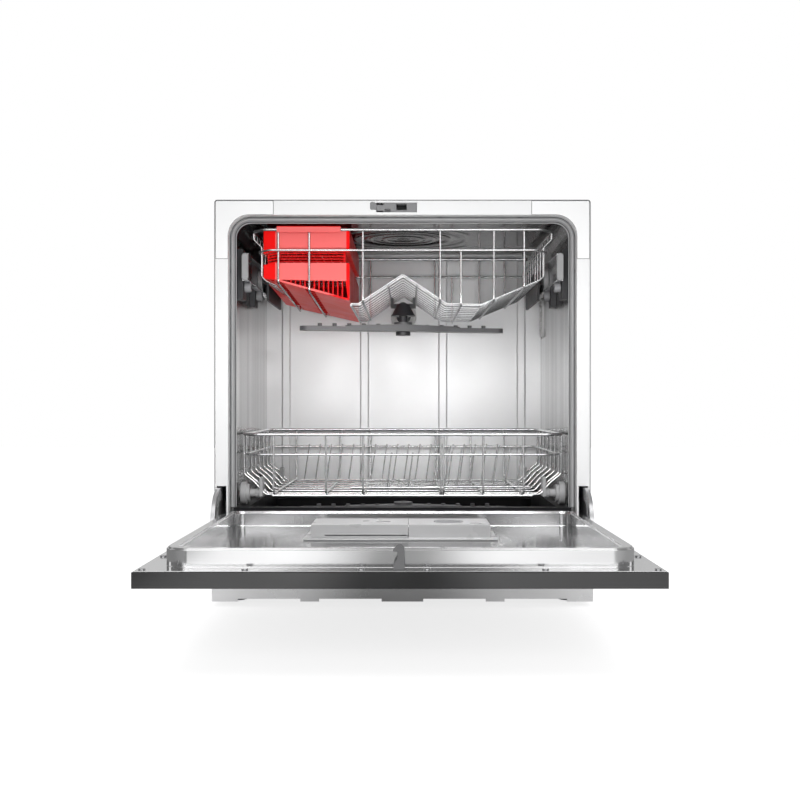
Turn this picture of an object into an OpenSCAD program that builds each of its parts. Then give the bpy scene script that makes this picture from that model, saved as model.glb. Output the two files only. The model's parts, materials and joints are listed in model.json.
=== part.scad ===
// Countertop dishwasher with two sliding wire racks, shown with its door lying open.
// x runs across, y runs to the back from the face of the white frame, z runs up from the worktop.

/* [Cabinet] */
// Overall width of the cabinet and the door
cabinet_w = 550; // [530:5:580]
// Height of the cabinet's top above the worktop
cabinet_h = 590; // [575:5:620]
// Depth from the frame's face to the rear panel
cabinet_d = 470; // [460:5:520]
// Thickness of the bent steel sheets
sheet = 1; // [0.8:0.1:1.2]
// Width of each white post beside the opening
post_w = 20; // [19:0.5:22]
// Height of the white rail above the opening
head_h = 22; // [21:0.5:24]
// Outer radius of the opening's upper corners
corner_r = 31; // [26:1:36]
// Leg length of the bright corner plates
corner_leg = 85; // [70:5:100]
// Height of the plinth's upper edge
plinth_top = 96; // [90:1:96]
// How far the plinth stands in front of the frame
plinth_out = 25; // [20:1:30]

/* [Tub] */
// Space between the cabinet's side and the tub's inner wall
tub_side_gap = 27; // [26.5:0.5:28]
// Space between the cabinet's top and the tub's ceiling
tub_top_gap = 28; // [27:0.5:29]
// Space between the rear panel and the tub's rear wall
tub_rear_gap = 78; // [60:2:78]
// Height of the sill and of the roller ledges
sill_z = 139.5; // [137:0.5:139.5]
// Height of the tub's floor
floor_z = 104; // [100:1:106]
// Width of the ribs pressed into the rear wall
rib_w = 17; // [10:1:24]
// Distance between the rear wall's ribs
rib_pitch = 142; // [100:2:144]
// Width of the rubber seal seen from the front
seal_w = 9.6; // [8:0.2:9.6]

/* [Door] */
// Thickness of the door's slab
door_t = 18; // [16:0.5:20]
// Gap between the shut door's slab and the frame
door_gap = 6; // [5:0.5:8]
// Height of the shut door's lower edge
door_bottom = 103; // [102:0.5:105]
// Height of the hinge pins
hinge_z = 113.5; // [112:0.5:114]
// Depth of the hinge pins inside the slab
hinge_in = 6; // [5:0.5:7]
// Height of the raised rim inside the door
rim_h = 20; // [16:1:20]
// Width of the raised rim's ridge
rim_w = 14; // [10:1:16]
// Distance from the door's side edge to the rim
rim_side = 25; // [24.5:0.5:27]
// Distance from the door's upper edge to the rim
rim_top_gap = 28; // [26:1:34]
// Length of the hinge pins' eyes' radius
eye_r = 8; // [7:0.5:9]
// Radius of the hinge pins
pin_r = 4; // [3:0.5:5]

/* [Dispenser] */
// Width of the detergent lid
lid_w = 123; // [100:1:130]
// Width of the rinse-aid side
rinse_w = 104; // [80:1:108]
// Front-to-back size of the dispenser
dispenser_d = 78; // [70:1:84]
// Height of the dispenser above the door's inner sheet
dispenser_h = 20; // [14:1:20]
// Distance from the hinge line to the dispenser
dispenser_back = 132; // [125:1:140]
// How far the lid slides open
lid_travel = 60; // [40:1:64]
// Radius of the rinse-aid cap
rinse_cap_r = 19; // [14:1:22]

/* [Racks] */
// Diameter of the racks' rim wires
rim_wire = 5; // [4:0.5:5.5]
// Diameter of the racks' other wires
wire_d = 3.6; // [3:0.2:4]
// Diameter of the tines and the thin cross wires
thin_wire = 2.8; // [2.2:0.2:3.2]
// Front of the racks behind the frame's face
rack_front = 30; // [28:1:34]
// Space between the racks and the tub's rear wall
rack_rear_gap = 22; // [20:1:60]
// How far each rack rolls out
rack_travel = 300; // [200:10:300]
// Cross wires in the upper rack's floor
upper_cross = 11; // [7:1:14]
// Cross wires in the lower rack's floor
lower_cross = 8; // [5:1:12]
// Space between the tub's ceiling and the upper rack's rim
upper_rim_drop = 11; // [11:1:17]
// Depth of the upper rack below its rim
upper_depth = 110; // [104:1:112]
// Height of the ridge in the middle of the upper rack's floor
ridge_h = 44; // [30:2:48]
// Height of the lower rack's rim
lower_rim_z = 246; // [236:1:260]
// Height of the lower rack's floor
lower_floor_z = 155; // [154:0.5:160]
// Height of the plate tines
tine_h = 62; // [40:1:70]
// Spacing of the plate tines
tine_pitch = 19; // [14:1:24]

/* [Wheels and rails] */
// Radius of the lower rack's wheels
lower_wheel_r = 17; // [15:0.5:17.5]
// Radius of the upper rack's wheels
upper_wheel_r = 18.4; // [16:0.2:19]
// Radius of the guide rollers fixed to the tub
guide_r = 7; // [6:0.5:8]
// Radius of the wheels' axle stubs
axle_r = 3; // [2.5:0.1:3.5]
// Radial running clearance of wheels, caps and pins
running = 0.05; // [0.03:0.01:0.1]
// Width of the upper rails
rail_w = 10; // [9:0.5:10.5]

/* [Basket] */
// Distance from the rack's middle to the red cutlery basket
basket_in = 77.5; // [76:0.5:84]
// Height of the basket's solid panels
panel_h = 27; // [20:1:28]
// Wall thickness of the basket
basket_wall = 2.2; // [1.8:0.1:2.6]

/* [Spray arms] */
// Length of each spray arm from its hub to its tip
arm_r = 170; // [140:5:172]
// Width of the spray arms at the hub
arm_w = 34; // [26:2:40]

/* [Hidden] */
$fn = 48;

gap = 0.3;
half_w = cabinet_w / 2;
frame_half = half_w - sheet - gap;
frame_top = cabinet_h - sheet - gap;
frame_bottom = 97.5;
frame_t = 2;
open_half = half_w - post_w;
open_top = cabinet_h - head_h;
tub_half = half_w - tub_side_gap;
tub_top = cabinet_h - tub_top_gap;
tub_back_y = cabinet_d - tub_rear_gap;
tub_front_y = 22.3;
seal_y = [14.6, tub_front_y - gap];
hinge_y = -door_gap - hinge_in;
slot_x = [half_w - 17.5, half_w - 3.5];
slot_top = hinge_z + 58;
bracket_x = [half_w - 16.5, half_w - 12.5];
strap_x = [half_w - 11.5, half_w - 5.5];
lock_x = [-38, 21];
lock_z = [cabinet_h - 18, cabinet_h - 4.5];
hook_x = [-7.2, 4.3];
hook_z = cabinet_h - 11;
floor_half = tub_half - gap;
base_wall = 3;
sill_y = 2 + base_wall + gap;
ledge_w = 20;
rack_back = tub_back_y - rack_rear_gap;
rack_len = rack_back - rack_front;
upper_half = tub_half - 23;
lower_half = tub_half - 8;
upper_rim_z = tub_top - upper_rim_drop;
arm_y = rack_front + rack_len / 2;
filter_x = 76;
filter_r = 32;
plate_r = 112;
salt_at = [-135, 110];
rail_z = [upper_rim_z - 76, upper_rim_z - 35];
rail_out = tub_half - 8.5;
rail_in = rail_out - rail_w;
rail_mid = (rail_z[0] + rail_z[1]) / 2;
guide_y = [60, 190];
rail_front = rack_front + 3;
rail_len = rack_len;
upper_wheel_y = [rack_back - 165, rack_back - 25];
lower_wheel_y = [rack_front + 32, rack_back - 38];
lower_wheel_z = sill_z + gap + lower_wheel_r;
upper_floor_z = upper_rim_z - upper_depth;
basket_x = [-upper_half + 14.5, -basket_in];
weld = 0.05;
red = [0.93, 0.12, 0.12];

// Turns a shape drawn as the door hangs shut about its hinge, so that the door lies open.
module opened() {
    translate([0, hinge_y, hinge_z])
        rotate([90, 0, 0])
            translate([0, -hinge_y, -hinge_z])
                children();
}

// Extrudes an x-z outline from y = a to y = b.
module along_y(a, b) {
    translate([0, b, 0])
        rotate([90, 0, 0])
            linear_extrude(b - a)
                children();
}

// Extrudes a y-z outline from x = a to x = b.
module along_x(a, b) {
    translate([a, 0, 0])
        rotate([90, 0, 90])
            linear_extrude(b - a)
                children();
}

// A box between two opposite corners.
module block(a, b) {
    translate(a)
        cube(b - a);
}

// The same shape on the left and on the right.
module both_sides() {
    children();
    mirror([1, 0, 0])
        children();
}

// A cylinder along x from x = a to x = b.
module rod_x(a, b, y, z, r) {
    translate([a, y, z])
        rotate([0, 90, 0])
            cylinder(h = b - a, r = r);
}

// A cylinder along y from y = a to y = b.
module rod_y(a, b, x, z, r) {
    translate([x, b, z])
        rotate([90, 0, 0])
            cylinder(h = b - a, r = r);
}

// A rectangle with round corners, centred on the origin.
module round_rect(w, h, r) {
    square([w - 2 * r, h], center = true);
    square([w, h - 2 * r], center = true);
    for (sx = [-1, 1], sy = [-1, 1])
        translate([sx * (w / 2 - r), sy * (h / 2 - r)])
            circle(r = r);
}

// An upright outline with round upper corners, from z = bottom to z = top.
module arch(half, bottom, top, r) {
    translate([-half, bottom])
        square([2 * half, top - bottom - r]);
    translate([-(half - r), bottom])
        square([2 * (half - r), top - bottom]);
    for (s = [-1, 1])
        translate([s * (half - r), top - r])
            circle(r = r);
}

// A straight wire between two points, made as a prism.
module wire(a, b, d) {
    v = b - a;
    len = norm(v);
    translate(a)
        rotate([0, acos(v[2] / len), atan2(v[1], v[0])])
            cylinder(h = len, d = d, $fn = d > 3 ? 8 : 6);
}

function across(v) = [-v[1], v[0]] / norm(v);

// The corner of a bent wire's edge beside point i of a flat path.
function mitre(p, i, side) = let (a = across(p[max(i, 1)] - p[max(i, 1) - 1]), n = len(p) - 2,
    b = across(p[min(i, n) + 1] - p[min(i, n)])) p[i] + side * (a + b) / (1 + a * b);

module flat_path(p, d) {
    polygon([for (i = [0 : len(p) - 1]) mitre(p, i, d / 2), for (i = [len(p) - 1 : -1 : 0]) mitre(p, i, -d / 2)]);
}

// A wire bent at each of its points, in a plane across x or across y.
module bent_wire(points, d) {
    x = points[0][0];
    y = points[0][1];
    if (points[1][0] == x && points[2][0] == x)
        along_x(x - d / 2, x + d / 2)
            flat_path([for (q = points) [q[1], q[2]]], d);
    else
        along_y(y - d / 2, y + d / 2)
            flat_path([for (q = points) [q[0], q[2]]], d);
}

// ---------------------------------------------------------------- cabinet

module outer_wrap() {
    color("whitesmoke")
        along_y(0, cabinet_d)
            difference() {
                arch(half_w, 12, cabinet_h, 4);
                arch(half_w - sheet, 11, cabinet_h - sheet, 4 - sheet);
            }
}

module back_panel() {
    inner = half_w - sheet - gap;
    color("lightgray")
        difference() {
            along_y(cabinet_d - 4, cabinet_d)
                arch(inner, 12, cabinet_h - sheet - gap, 4 - sheet);
            block([-inner + 14, cabinet_d - 5, 98], [inner - 14, cabinet_d - sheet, cabinet_h - 24]);
            for (i = [0 : 9])
                block([-90, cabinet_d - 6, 130 + i * 9], [90, cabinet_d + 1, 134 + i * 9]);
            rod_y(cabinet_d - 6, cabinet_d + 1, 200, 60, 15);
            rod_y(cabinet_d - 6, cabinet_d + 1, 130, 52, 11);
            rod_y(cabinet_d - 6, cabinet_d + 1, -205, 55, 9.3);
        }
}

module base_pan() {
    inner = half_w - sheet - gap;
    wall = base_wall;
    rear = cabinet_d - 4 - gap;
    color("dimgray")
        difference() {
            union() {
                difference() {
                    block([-inner, 2, 12], [inner, rear, 83.7]);
                    block([-inner + wall, 2 + wall, 16], [inner - wall, rear - wall, 90]);
                }
                block([-inner, 2, 12], [inner, 2 + wall, frame_bottom - gap]);
                both_sides()
                    block([floor_half - 14, 2 + wall, 12], [floor_half - 11, tub_back_y, 83.7]);
                for (x = [-1, 1], y = [40, cabinet_d - 40])
                    translate([x * (inner - 25), y, 12])
                        cylinder(h = 22, r = 11);
            }
            for (x = [-1, 1], y = [40, cabinet_d - 40])
                translate([x * (inner - 25), y, 8])
                    cylinder(h = 20, r = 4 + running);
            rod_y(rear - 10, rear + 1, 200, 60, 15);
            rod_y(rear - 10, rear + 1, 130, 52, 11);
            // the gland's seat has flats, which keep the gland from turning
            translate([-205, rear + 1, 55])
                rotate([90, 0, 0])
                    cylinder(h = 11, r = 9.8, $fn = 8);
        }
}

module plinth() {
    top = plinth_top;
    side = half_w - 0.5;
    color("silver") {
        difference() {
            block([-side, -plinth_out, 7], [side, -gap, top]);
            block([-side + 1.5, -plinth_out + 1.5, 6], [side - 1.5, 0, top - 1.5]);
            for (x = [-192, -75, 75, 192])
                block([x - 45, -plinth_out - 1, 6], [x + 45, -plinth_out + 3, 11]);
        }
        both_sides()
            block([side - 18, -6, 20], [side - 1, 2 - gap, 80]);
    }
}

module feet() {
    inner = half_w - sheet - gap;
    color("darkgray")
        for (x = [-1, 1], y = [40, cabinet_d - 40])
            translate([x * (inner - 25), y, 0]) {
                cylinder(h = 4, r = 16);
                translate([0, 0, 4])
                    cylinder(h = 4, r1 = 16, r2 = 9);
                cylinder(h = 26, r = 4);
            }
}

// The white frame's outline, open at the bottom.
module frame_outline(shrink) {
    difference() {
        arch(frame_half - shrink, frame_bottom, frame_top - shrink, 4 - sheet);
        arch(open_half, 0, open_top, corner_r);
    }
}

// The outline of one bright corner plate.
module corner_outline(grow) {
    difference() {
        intersection() {
            translate([frame_half - corner_leg - grow, frame_top - corner_leg - grow])
                square([corner_leg + grow + 1, corner_leg + grow + 1]);
            arch(frame_half + grow, frame_bottom, frame_top + grow, 4 - sheet + grow);
        }
        arch(open_half - grow, 0, open_top - grow, corner_r - grow);
    }
}

module front_frame() {
    color("white")
        difference() {
            union() {
                along_y(0, frame_t)
                    difference() {
                        frame_outline(0);
                        both_sides()
                            corner_outline(gap);
                    }
                along_y(frame_t, 2 * frame_t)
                    frame_outline(0);
                along_y(2 * frame_t, 18)
                    difference() {
                        arch(frame_half, frame_bottom, frame_top, 4);
                        arch(frame_half - 1.5, frame_bottom - 1, frame_top - 1.5, 3);
                    }
                along_y(2 * frame_t, tub_front_y - gap)
                    difference() {
                        arch(open_half + 1.5, frame_bottom, open_top + 1.5, corner_r + 1.5);
                        arch(open_half, frame_bottom - 1, open_top, corner_r);
                    }
            }
            both_sides()
                block([slot_x[0], -1, frame_bottom - 1], [slot_x[1], 40, slot_top]);
            block([lock_x[0] - gap, -1, lock_z[0] - gap], [lock_x[1] + gap, 40, lock_z[1] + gap]);
        }
}

module frame_corners() {
    color("white")
        both_sides()
            along_y(0, frame_t - gap)
                corner_outline(0);
}

module latch_lock() {
    color("gray")
        difference() {
            union() {
                block([-28, 0, lock_z[0]], [lock_x[1], 30, lock_z[1]]);
                block([lock_x[0], 0, lock_z[0] + 2], [-28, 20, lock_z[1] - 3]);
            }
            block([-9, -1, hook_z - 4], [6, 25, hook_z + 5]);
            block([-25.5, -1, lock_z[0] - 1], [-18, 6, lock_z[0] + 4.5]);
        }
}

// ---------------------------------------------------------------- tub

module tub_wrap() {
    flange = open_half + 3;
    r_in = corner_r - 3;
    color("silver")
        difference() {
            union() {
                along_y(tub_front_y, tub_back_y - gap)
                    difference() {
                        arch(tub_half + sheet, 112, tub_top + sheet, r_in + sheet);
                        arch(tub_half, 100, tub_top, r_in);
                    }
                along_y(tub_front_y, tub_front_y + sheet)
                    difference() {
                        arch(flange, 112, open_top + 3.5, corner_r + 4);
                        arch(tub_half, 100, tub_top, r_in);
                    }
                for (r = [30, 52, 74])
                    translate([0, arm_y, tub_top - 0.8])
                        difference() {
                            cylinder(h = 1, r = r + 4, $fn = 64);
                            translate([0, 0, -1])
                                cylinder(h = 3, r = r - 4, $fn = 64);
                        }
            }
            block([tub_half - 2, tub_back_y - 57, 409], [tub_half + 2, tub_back_y - 17, 483]);
        }
}

module tub_back() {
    color("lightgray")
        difference() {
            union() {
                along_y(tub_back_y, tub_back_y + sheet)
                    arch(tub_half + sheet, 112, tub_top + sheet, corner_r - 3 + sheet);
                for (x = [-1.5, -0.5, 0.5, 1.5])
                    translate([x * rib_pitch, tub_back_y, 124])
                        linear_extrude(tub_top - 134)
                            polygon([[-rib_w / 2, 0.5], [-rib_w / 2 + 2.5, -2.5],
                                [rib_w / 2 - 2.5, -2.5], [rib_w / 2, 0.5]]);
            }
            rod_y(tub_back_y - 5, tub_back_y + 5, 0, upper_floor_z + 9, 14);
        }
}

module tub_floor() {
    pan = ledge_w + 2;
    color([0.13, 0.13, 0.14])
        difference() {
            union() {
                block([-floor_half, sill_y, 84], [floor_half, tub_front_y + 2, sill_z]);
                block([-floor_half, sill_y, 84], [floor_half, tub_back_y - gap, 122]);
                both_sides()
                    block([floor_half - ledge_w, sill_y, 84], [floor_half, tub_back_y - gap, sill_z]);
                block([-floor_half, tub_back_y - 8, 84], [floor_half, tub_back_y - gap, 124]);
            }
            translate([0, (tub_front_y + 2 + tub_back_y - 8) / 2, floor_z])
                linear_extrude(60)
                    round_rect(2 * (floor_half - ledge_w), tub_back_y - 10 - tub_front_y, 26);
            block([-floor_half + pan, tub_front_y + 4, 80], [floor_half - pan, tub_back_y - 10, floor_z - 11]);
            translate([0, arm_y, floor_z - 4])
                cylinder(h = 20, r = plate_r + 2);
            translate([filter_x, arm_y, 70])
                cylinder(h = 60, r = filter_r + 6);
            translate([0, arm_y, 80])
                cylinder(h = 40, r = 16 + gap);
            translate([salt_at[0], salt_at[1], 70])
                cylinder(h = 60, r = 26);
        }
}

module door_gasket() {
    color([0.32, 0.32, 0.33])
        union() {
            along_y(seal_y[0] + 3, seal_y[1])
                difference() {
                    arch(open_half - 0.4, sill_z + gap, open_top - 0.4, corner_r - 0.4);
                    arch(open_half - seal_w, sill_z - 1, open_top - seal_w, corner_r - seal_w);
                }
            along_y(seal_y[0], seal_y[0] + 4)
                difference() {
                    arch(open_half - 2.6, sill_z + gap, open_top - 2.6, corner_r - 2.6);
                    arch(open_half - seal_w + 2, sill_z - 1, open_top - seal_w + 2, corner_r - seal_w + 2);
                }
        }
}

module sump() {
    color("darkgray")
        difference() {
            union() {
                translate([filter_x, arm_y, 30])
                    cylinder(h = floor_z - 11 - gap - 30, r = filter_r + 9);
                translate([0, arm_y, 44])
                    cylinder(h = floor_z - 6 - 44, r = 16);
                translate([0, arm_y, 60])
                    cylinder(h = 56, r = 9);
                translate([0, arm_y, 110])
                    cylinder(h = 18, r = 6 - running);
                block([0, arm_y - 14, 44], [filter_x - 10, arm_y + 14, 74]);
            }
            translate([filter_x, arm_y, 34])
                cylinder(h = 60, r = filter_r + 5);
        }
}

module filter_plate() {
    color("silver")
        difference() {
            translate([0, arm_y, floor_z - 3.7])
                cylinder(h = 1.2, r = plate_r);
            translate([filter_x, arm_y, floor_z - 6])
                cylinder(h = 6, r = filter_r + 1);
            translate([0, arm_y, floor_z - 6])
                cylinder(h = 6, r = 17);
        }
}

module filter_cup() {
    color("gainsboro")
        difference() {
            union() {
                translate([filter_x, arm_y, 45])
                    cylinder(h = floor_z - 40, r = filter_r);
                translate([filter_x, arm_y, floor_z - 2.2])
                    cylinder(h = 3.2, r = filter_r + 4);
            }
            translate([filter_x, arm_y, 48])
                cylinder(h = 80, r = filter_r - 3);
        }
}

module salt_container() {
    color("whitesmoke")
        difference() {
            union() {
                translate([salt_at[0], salt_at[1], 22])
                    cylinder(h = 61.7, r = 44);
                translate([salt_at[0], salt_at[1], 60])
                    cylinder(h = floor_z - 58, r = 25.6);
            }
            translate([salt_at[0], salt_at[1], 26])
                cylinder(h = 52, r = 40);
            translate([salt_at[0], salt_at[1], 30])
                cylinder(h = 100, r = 20);
        }
}

module salt_cap() {
    color("lightsteelblue")
        translate([salt_at[0], salt_at[1], floor_z + 2.3]) {
            cylinder(h = 6, r = 28);
            translate([-3, -22, 5])
                cube([6, 44, 4.4]);
            translate([0, 0, -14])
                cylinder(h = 15, r = 20 - running);
        }
}

// ---------------------------------------------------------------- works below the tub

module wash_pump() {
    color("dimgray")
        union() {
            rod_y(arm_y - 60, arm_y + 70, -60, 50, 29);
            rod_y(arm_y + 70, arm_y + 92, -60, 50, 33);
            rod_x(-60, -18, arm_y, 56, 13);
            block([-84, arm_y - 40, 16], [-36, arm_y + 50, 30]);
        }
}

module heater() {
    color("silver")
        union() {
            rod_y(arm_y + 92.3, arm_y + 150, -60, 50, 24);
            rod_y(arm_y + 150, arm_y + 158, -60, 50, 28);
            block([-72, arm_y + 96, 16], [-48, arm_y + 150, 32]);
        }
}

module drain_pump() {
    color("darkslategray")
        union() {
            rod_x(filter_x + filter_r + 9.3, filter_x + filter_r + 60, arm_y, 50, 22);
            block([filter_x + filter_r + 14, arm_y - 16, 16], [filter_x + filter_r + 54, arm_y + 16, 34]);
            rod_y(arm_y + 20, cabinet_d - 45, 130, 52, 8);
        }
}

module drain_outlet() {
    color("dimgray")
        difference() {
            union() {
                rod_y(cabinet_d - 44.7, cabinet_d + 14, 130, 52, 9.5);
                rod_y(cabinet_d - 20, cabinet_d - 8, 130, 52, 14);
            }
            rod_y(cabinet_d - 30, cabinet_d + 15, 130, 52, 7);
        }
}

module inlet_valve() {
    color("whitesmoke")
        difference() {
            union() {
                rod_y(cabinet_d - 30, cabinet_d + 16, 200, 60, 13.2);
                block([178, cabinet_d - 70, 38], [222, cabinet_d - 29, 78]);
                block([190, cabinet_d - 70, 16], [210, cabinet_d - 34, 39]);
                block([188, cabinet_d - 62, 78], [212, cabinet_d - 38, 92]);
            }
            rod_y(cabinet_d - 24, cabinet_d + 17, 200, 60, 9.5);
        }
}

module cord_gland() {
    color("black")
        difference() {
            union() {
                rod_y(cabinet_d - 14, cabinet_d + 10, -205, 55, 9);
                rod_y(cabinet_d + gap, cabinet_d + 4, -205, 55, 13);
            }
            rod_y(cabinet_d - 15, cabinet_d + 11, -205, 55, 4);
        }
}

module door_springs() {
    color("gray")
        both_sides()
            union() {
                rod_y(60, 190, half_w - 20, 62, 7);
                rod_y(20, 60, half_w - 20, 62, 2);
                rod_y(190, 220, half_w - 20, 62, 2);
                block([half_w - 24, 214, 16], [half_w - 16, 220, 66]);
                block([half_w - 24, 5.3, 58], [half_w - 16, 20, 66]);
            }
}

module water_box() {
    z = [180, tub_top - 62];
    x = [tub_half + sheet + gap, half_w - sheet - gap];
    y = [tub_back_y - 190, tub_back_y - 10];
    color("aliceblue")
        union() {
            difference() {
                block([x[0], y[0], z[0]], [x[1], y[1], z[1]]);
                for (i = [0 : 5])
                    block([x[1] - 2, y[0] + 14 + i * 27, z[0] + 14], [x[1] + 1, y[0] + 30 + i * 27, z[1] - 14]);
            }
            translate([x[0], tub_back_y - 37, 446])
                difference() {
                    rotate([0, -90, 0])
                        linear_extrude(sheet + gap + 4)
                            round_rect(70, 36, 17.5);
                    for (i = [-3 : 3])
                        translate([-8, -14, i * 8 - 1.5])
                            cube([5, 28, 3]);
                }
        }
}

module rear_duct() {
    color("whitesmoke")
        union() {
            block([-18, tub_back_y + sheet + gap, 60], [18, tub_back_y + 18, upper_floor_z + 20]);
            block([-18, arm_y + 170, 60], [18, tub_back_y + 2, 76]);
        }
}

module docking_ring() {
    z = upper_floor_z + 9;
    color("white")
        difference() {
            union() {
                rod_y(tub_back_y - 8, tub_back_y - gap, 0, z, 23);
                rod_y(tub_back_y - 1, tub_back_y + sheet, 0, z, 13.7);
            }
            rod_y(tub_back_y - 9, tub_back_y - 3, 0, z, 17);
            rod_y(tub_back_y - 9, tub_back_y + 3, 0, z, 11);
        }
}

// ---------------------------------------------------------------- upper rack and its rails

module rail_guides() {
    color([0.15, 0.15, 0.16])
        both_sides()
            for (y = guide_y)
                union() {
                    block([rail_out + gap, y - 17, rail_z[0] - 26], [tub_half - gap, y + 17, rail_z[1] + 8]);
                    block([rail_in + 2, y - 14, rail_z[1] + gap], [rail_out + 1, y + 14, rail_z[1] + 3]);
                    rod_x(rail_in - 0.5, rail_out + 1, y, rail_z[0] - gap - guide_r, axle_r);
                }
}

module guide_rollers(y) {
    z = rail_z[0] - gap - guide_r;
    color("dimgray")
        both_sides()
            difference() {
                rod_x(rail_in, rail_out - 0.5, y, z, guide_r);
                rod_x(rail_in - 1, rail_out, y, z, axle_r + running);
            }
}

module guide_rollers_front() guide_rollers(guide_y[0]);

module guide_rollers_rear() guide_rollers(guide_y[1]);

module upper_rails() {
    t = 1.5;
    color("lightgray")
        both_sides()
            difference() {
                block([rail_in, rail_front, rail_z[0]], [rail_out, rail_front + rail_len, rail_z[1]]);
                block([rail_in - 1, rail_front - 1, rail_z[0] + t],
                    [rail_out - t, rail_front + rail_len + 1, rail_z[1] - t]);
            }
}

module rail_caps() {
    h = rail_z[1] - rail_z[0];
    color("darkgray")
        both_sides()
            translate([(rail_in + rail_out) / 2, 0, rail_mid])
                along_y(rail_front - 6, rail_front)
                    round_rect(rail_w, h, rail_w / 2 - 0.2);
}

// Points of the upper rack's floor from the basket's side to the right rim, as x and z.
function upper_section() = let (f = upper_floor_z)
    [[-basket_in, f], [-66, f], [0, f + ridge_h], [66, f], [upper_half - 107, f - 1],
        [upper_half - 21, f + 35], [upper_half - 12, f + 43], [upper_half - 12, upper_rim_z - 23],
        [upper_half, upper_rim_z - 11], [upper_half, under_rim(upper_rim_z)]];

// The short left part of each hoop, which ends beside the basket.
function upper_stub() = let (f = upper_floor_z)
    [[-upper_half, under_rim(upper_rim_z)], [-upper_half, upper_rim_z - 11],
        [-upper_half + 12, upper_rim_z - 23], [-upper_half + 12, f + 43],
        [-upper_half + 19, f + 36], [-upper_half + 35, f + 29]];

function in_plane(points, y) = [for (p = points) [p[0], y, p[1]]];

// Height at which an upright ends below the rim that it is welded to.
function under_rim(z) = z - rim_wire / 2 - weld;

// Height of the upper rack's floor at x.
function floor_at(x) = lookup(x, [for (k = [0 : 6]) upper_section()[k]]);

// Height of a lengthwise wire that lies just below the floor wires at x.
function run_z(x) = let (slope = floor_at(x + 1) / 2 - floor_at(x - 1) / 2)
    floor_at(x) - weld - wire_d / 2 * (1 + abs(slope)) - thin_wire / 2 * sqrt(1 + slope * slope);

module rim_outline(half, back, corner, front) {
    polygon([[-half, back], [-half, front + corner], [-half + 0.8 * corner, front],
        [half - 0.8 * corner, front], [half, front + corner], [half, back]]);
}

// A rim that runs all round a rack, with slanted front corners.
module rack_rim(half, z, d, corner, out) {
    translate([0, 0, z - d / 2])
        linear_extrude(d)
            difference() {
                rim_outline(half + d / 2, rack_back + out + d / 2, corner, rack_front - out - d / 2);
                rim_outline(half - d / 2, rack_back + out - d / 2, corner, rack_front - out + d / 2);
            }
}

// A loop that goes down from the front, runs along the floor and goes up again at the back.
module loop(x, top, front_z, back_z) {
    bent_wire([[x, rack_front, top], [x, rack_front, front_z], [x, rack_back, back_z], [x, rack_back, top]],
        wire_d);
}

// Places of a rack's cross wires: clear of the front corners and just inside the loops at the back.
function hoop_y(i, count, d) = i == 0 ? rack_front + 24
    : i == count - 1 ? rack_back - wire_d / 2 - weld - d / 2
    : rack_front + i * rack_len / (count - 1);

module upper_rack() {
    second_z = upper_rim_z - 31;
    beside = (thin_wire + wire_d) / 2 + weld;
    section = upper_section();
    color("gainsboro") {
        rack_rim(upper_half, upper_rim_z, rim_wire, 24, 0);
        rack_rim(upper_half - 12 + beside, second_z, wire_d, 22, wire_d + weld);
        for (i = [0 : upper_cross - 1]) {
            bent_wire(in_plane(section, hoop_y(i, upper_cross, thin_wire)), thin_wire);
            bent_wire(in_plane(upper_stub(), hoop_y(i, upper_cross, thin_wire)), thin_wire);
        }
        bent_wire([for (k = [0 : 5]) [section[k][0], rack_front + beside, section[k][1]]], thin_wire);
        for (i = [1 : upper_cross - 2])
            bent_wire([for (k = [4 : 6]) [section[k][0], rack_front + (i + 0.5) * rack_len / (upper_cross - 1),
                section[k][1]]], thin_wire);
        for (x = [-59, 56, upper_half - 89, upper_half - 44])
            loop(x, under_rim(upper_rim_z), run_z(x), run_z(x));
        loop(87, second_z, run_z(87), run_z(87));
        for (x = [basket_x[0] + 25.5, basket_x[0] + 71.5])
            loop(x, under_rim(upper_rim_z), basket_under(x, 0) - 3, basket_under(x, 1) - 3);
        for (x = [-basket_in + 0.5, -21, 21])
            wire([x, rack_front, run_z(x)], [x, rack_back, run_z(x)], wire_d);
    }
}

// Height of the basket's underside at x, at its front (0) or its back (1).
function basket_under(x, back) = let (t = (x - basket_x[0] - 25.5) / 101)
    upper_floor_z + 33.6 - 27.6 * max(0, t) - back * (13 - 5 * max(0, t));

module basket_outline(inset, top) {
    l = basket_x[0] + inset;
    r = basket_x[1] - inset - 2;
    knee = basket_x[0] + 30.5;
    polygon([[l, top], [l, upper_floor_z + 40 + inset], [knee, basket_under(knee, 0) + inset],
        [r, basket_under(r, 0) + inset], [r, top]]);
}

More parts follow.
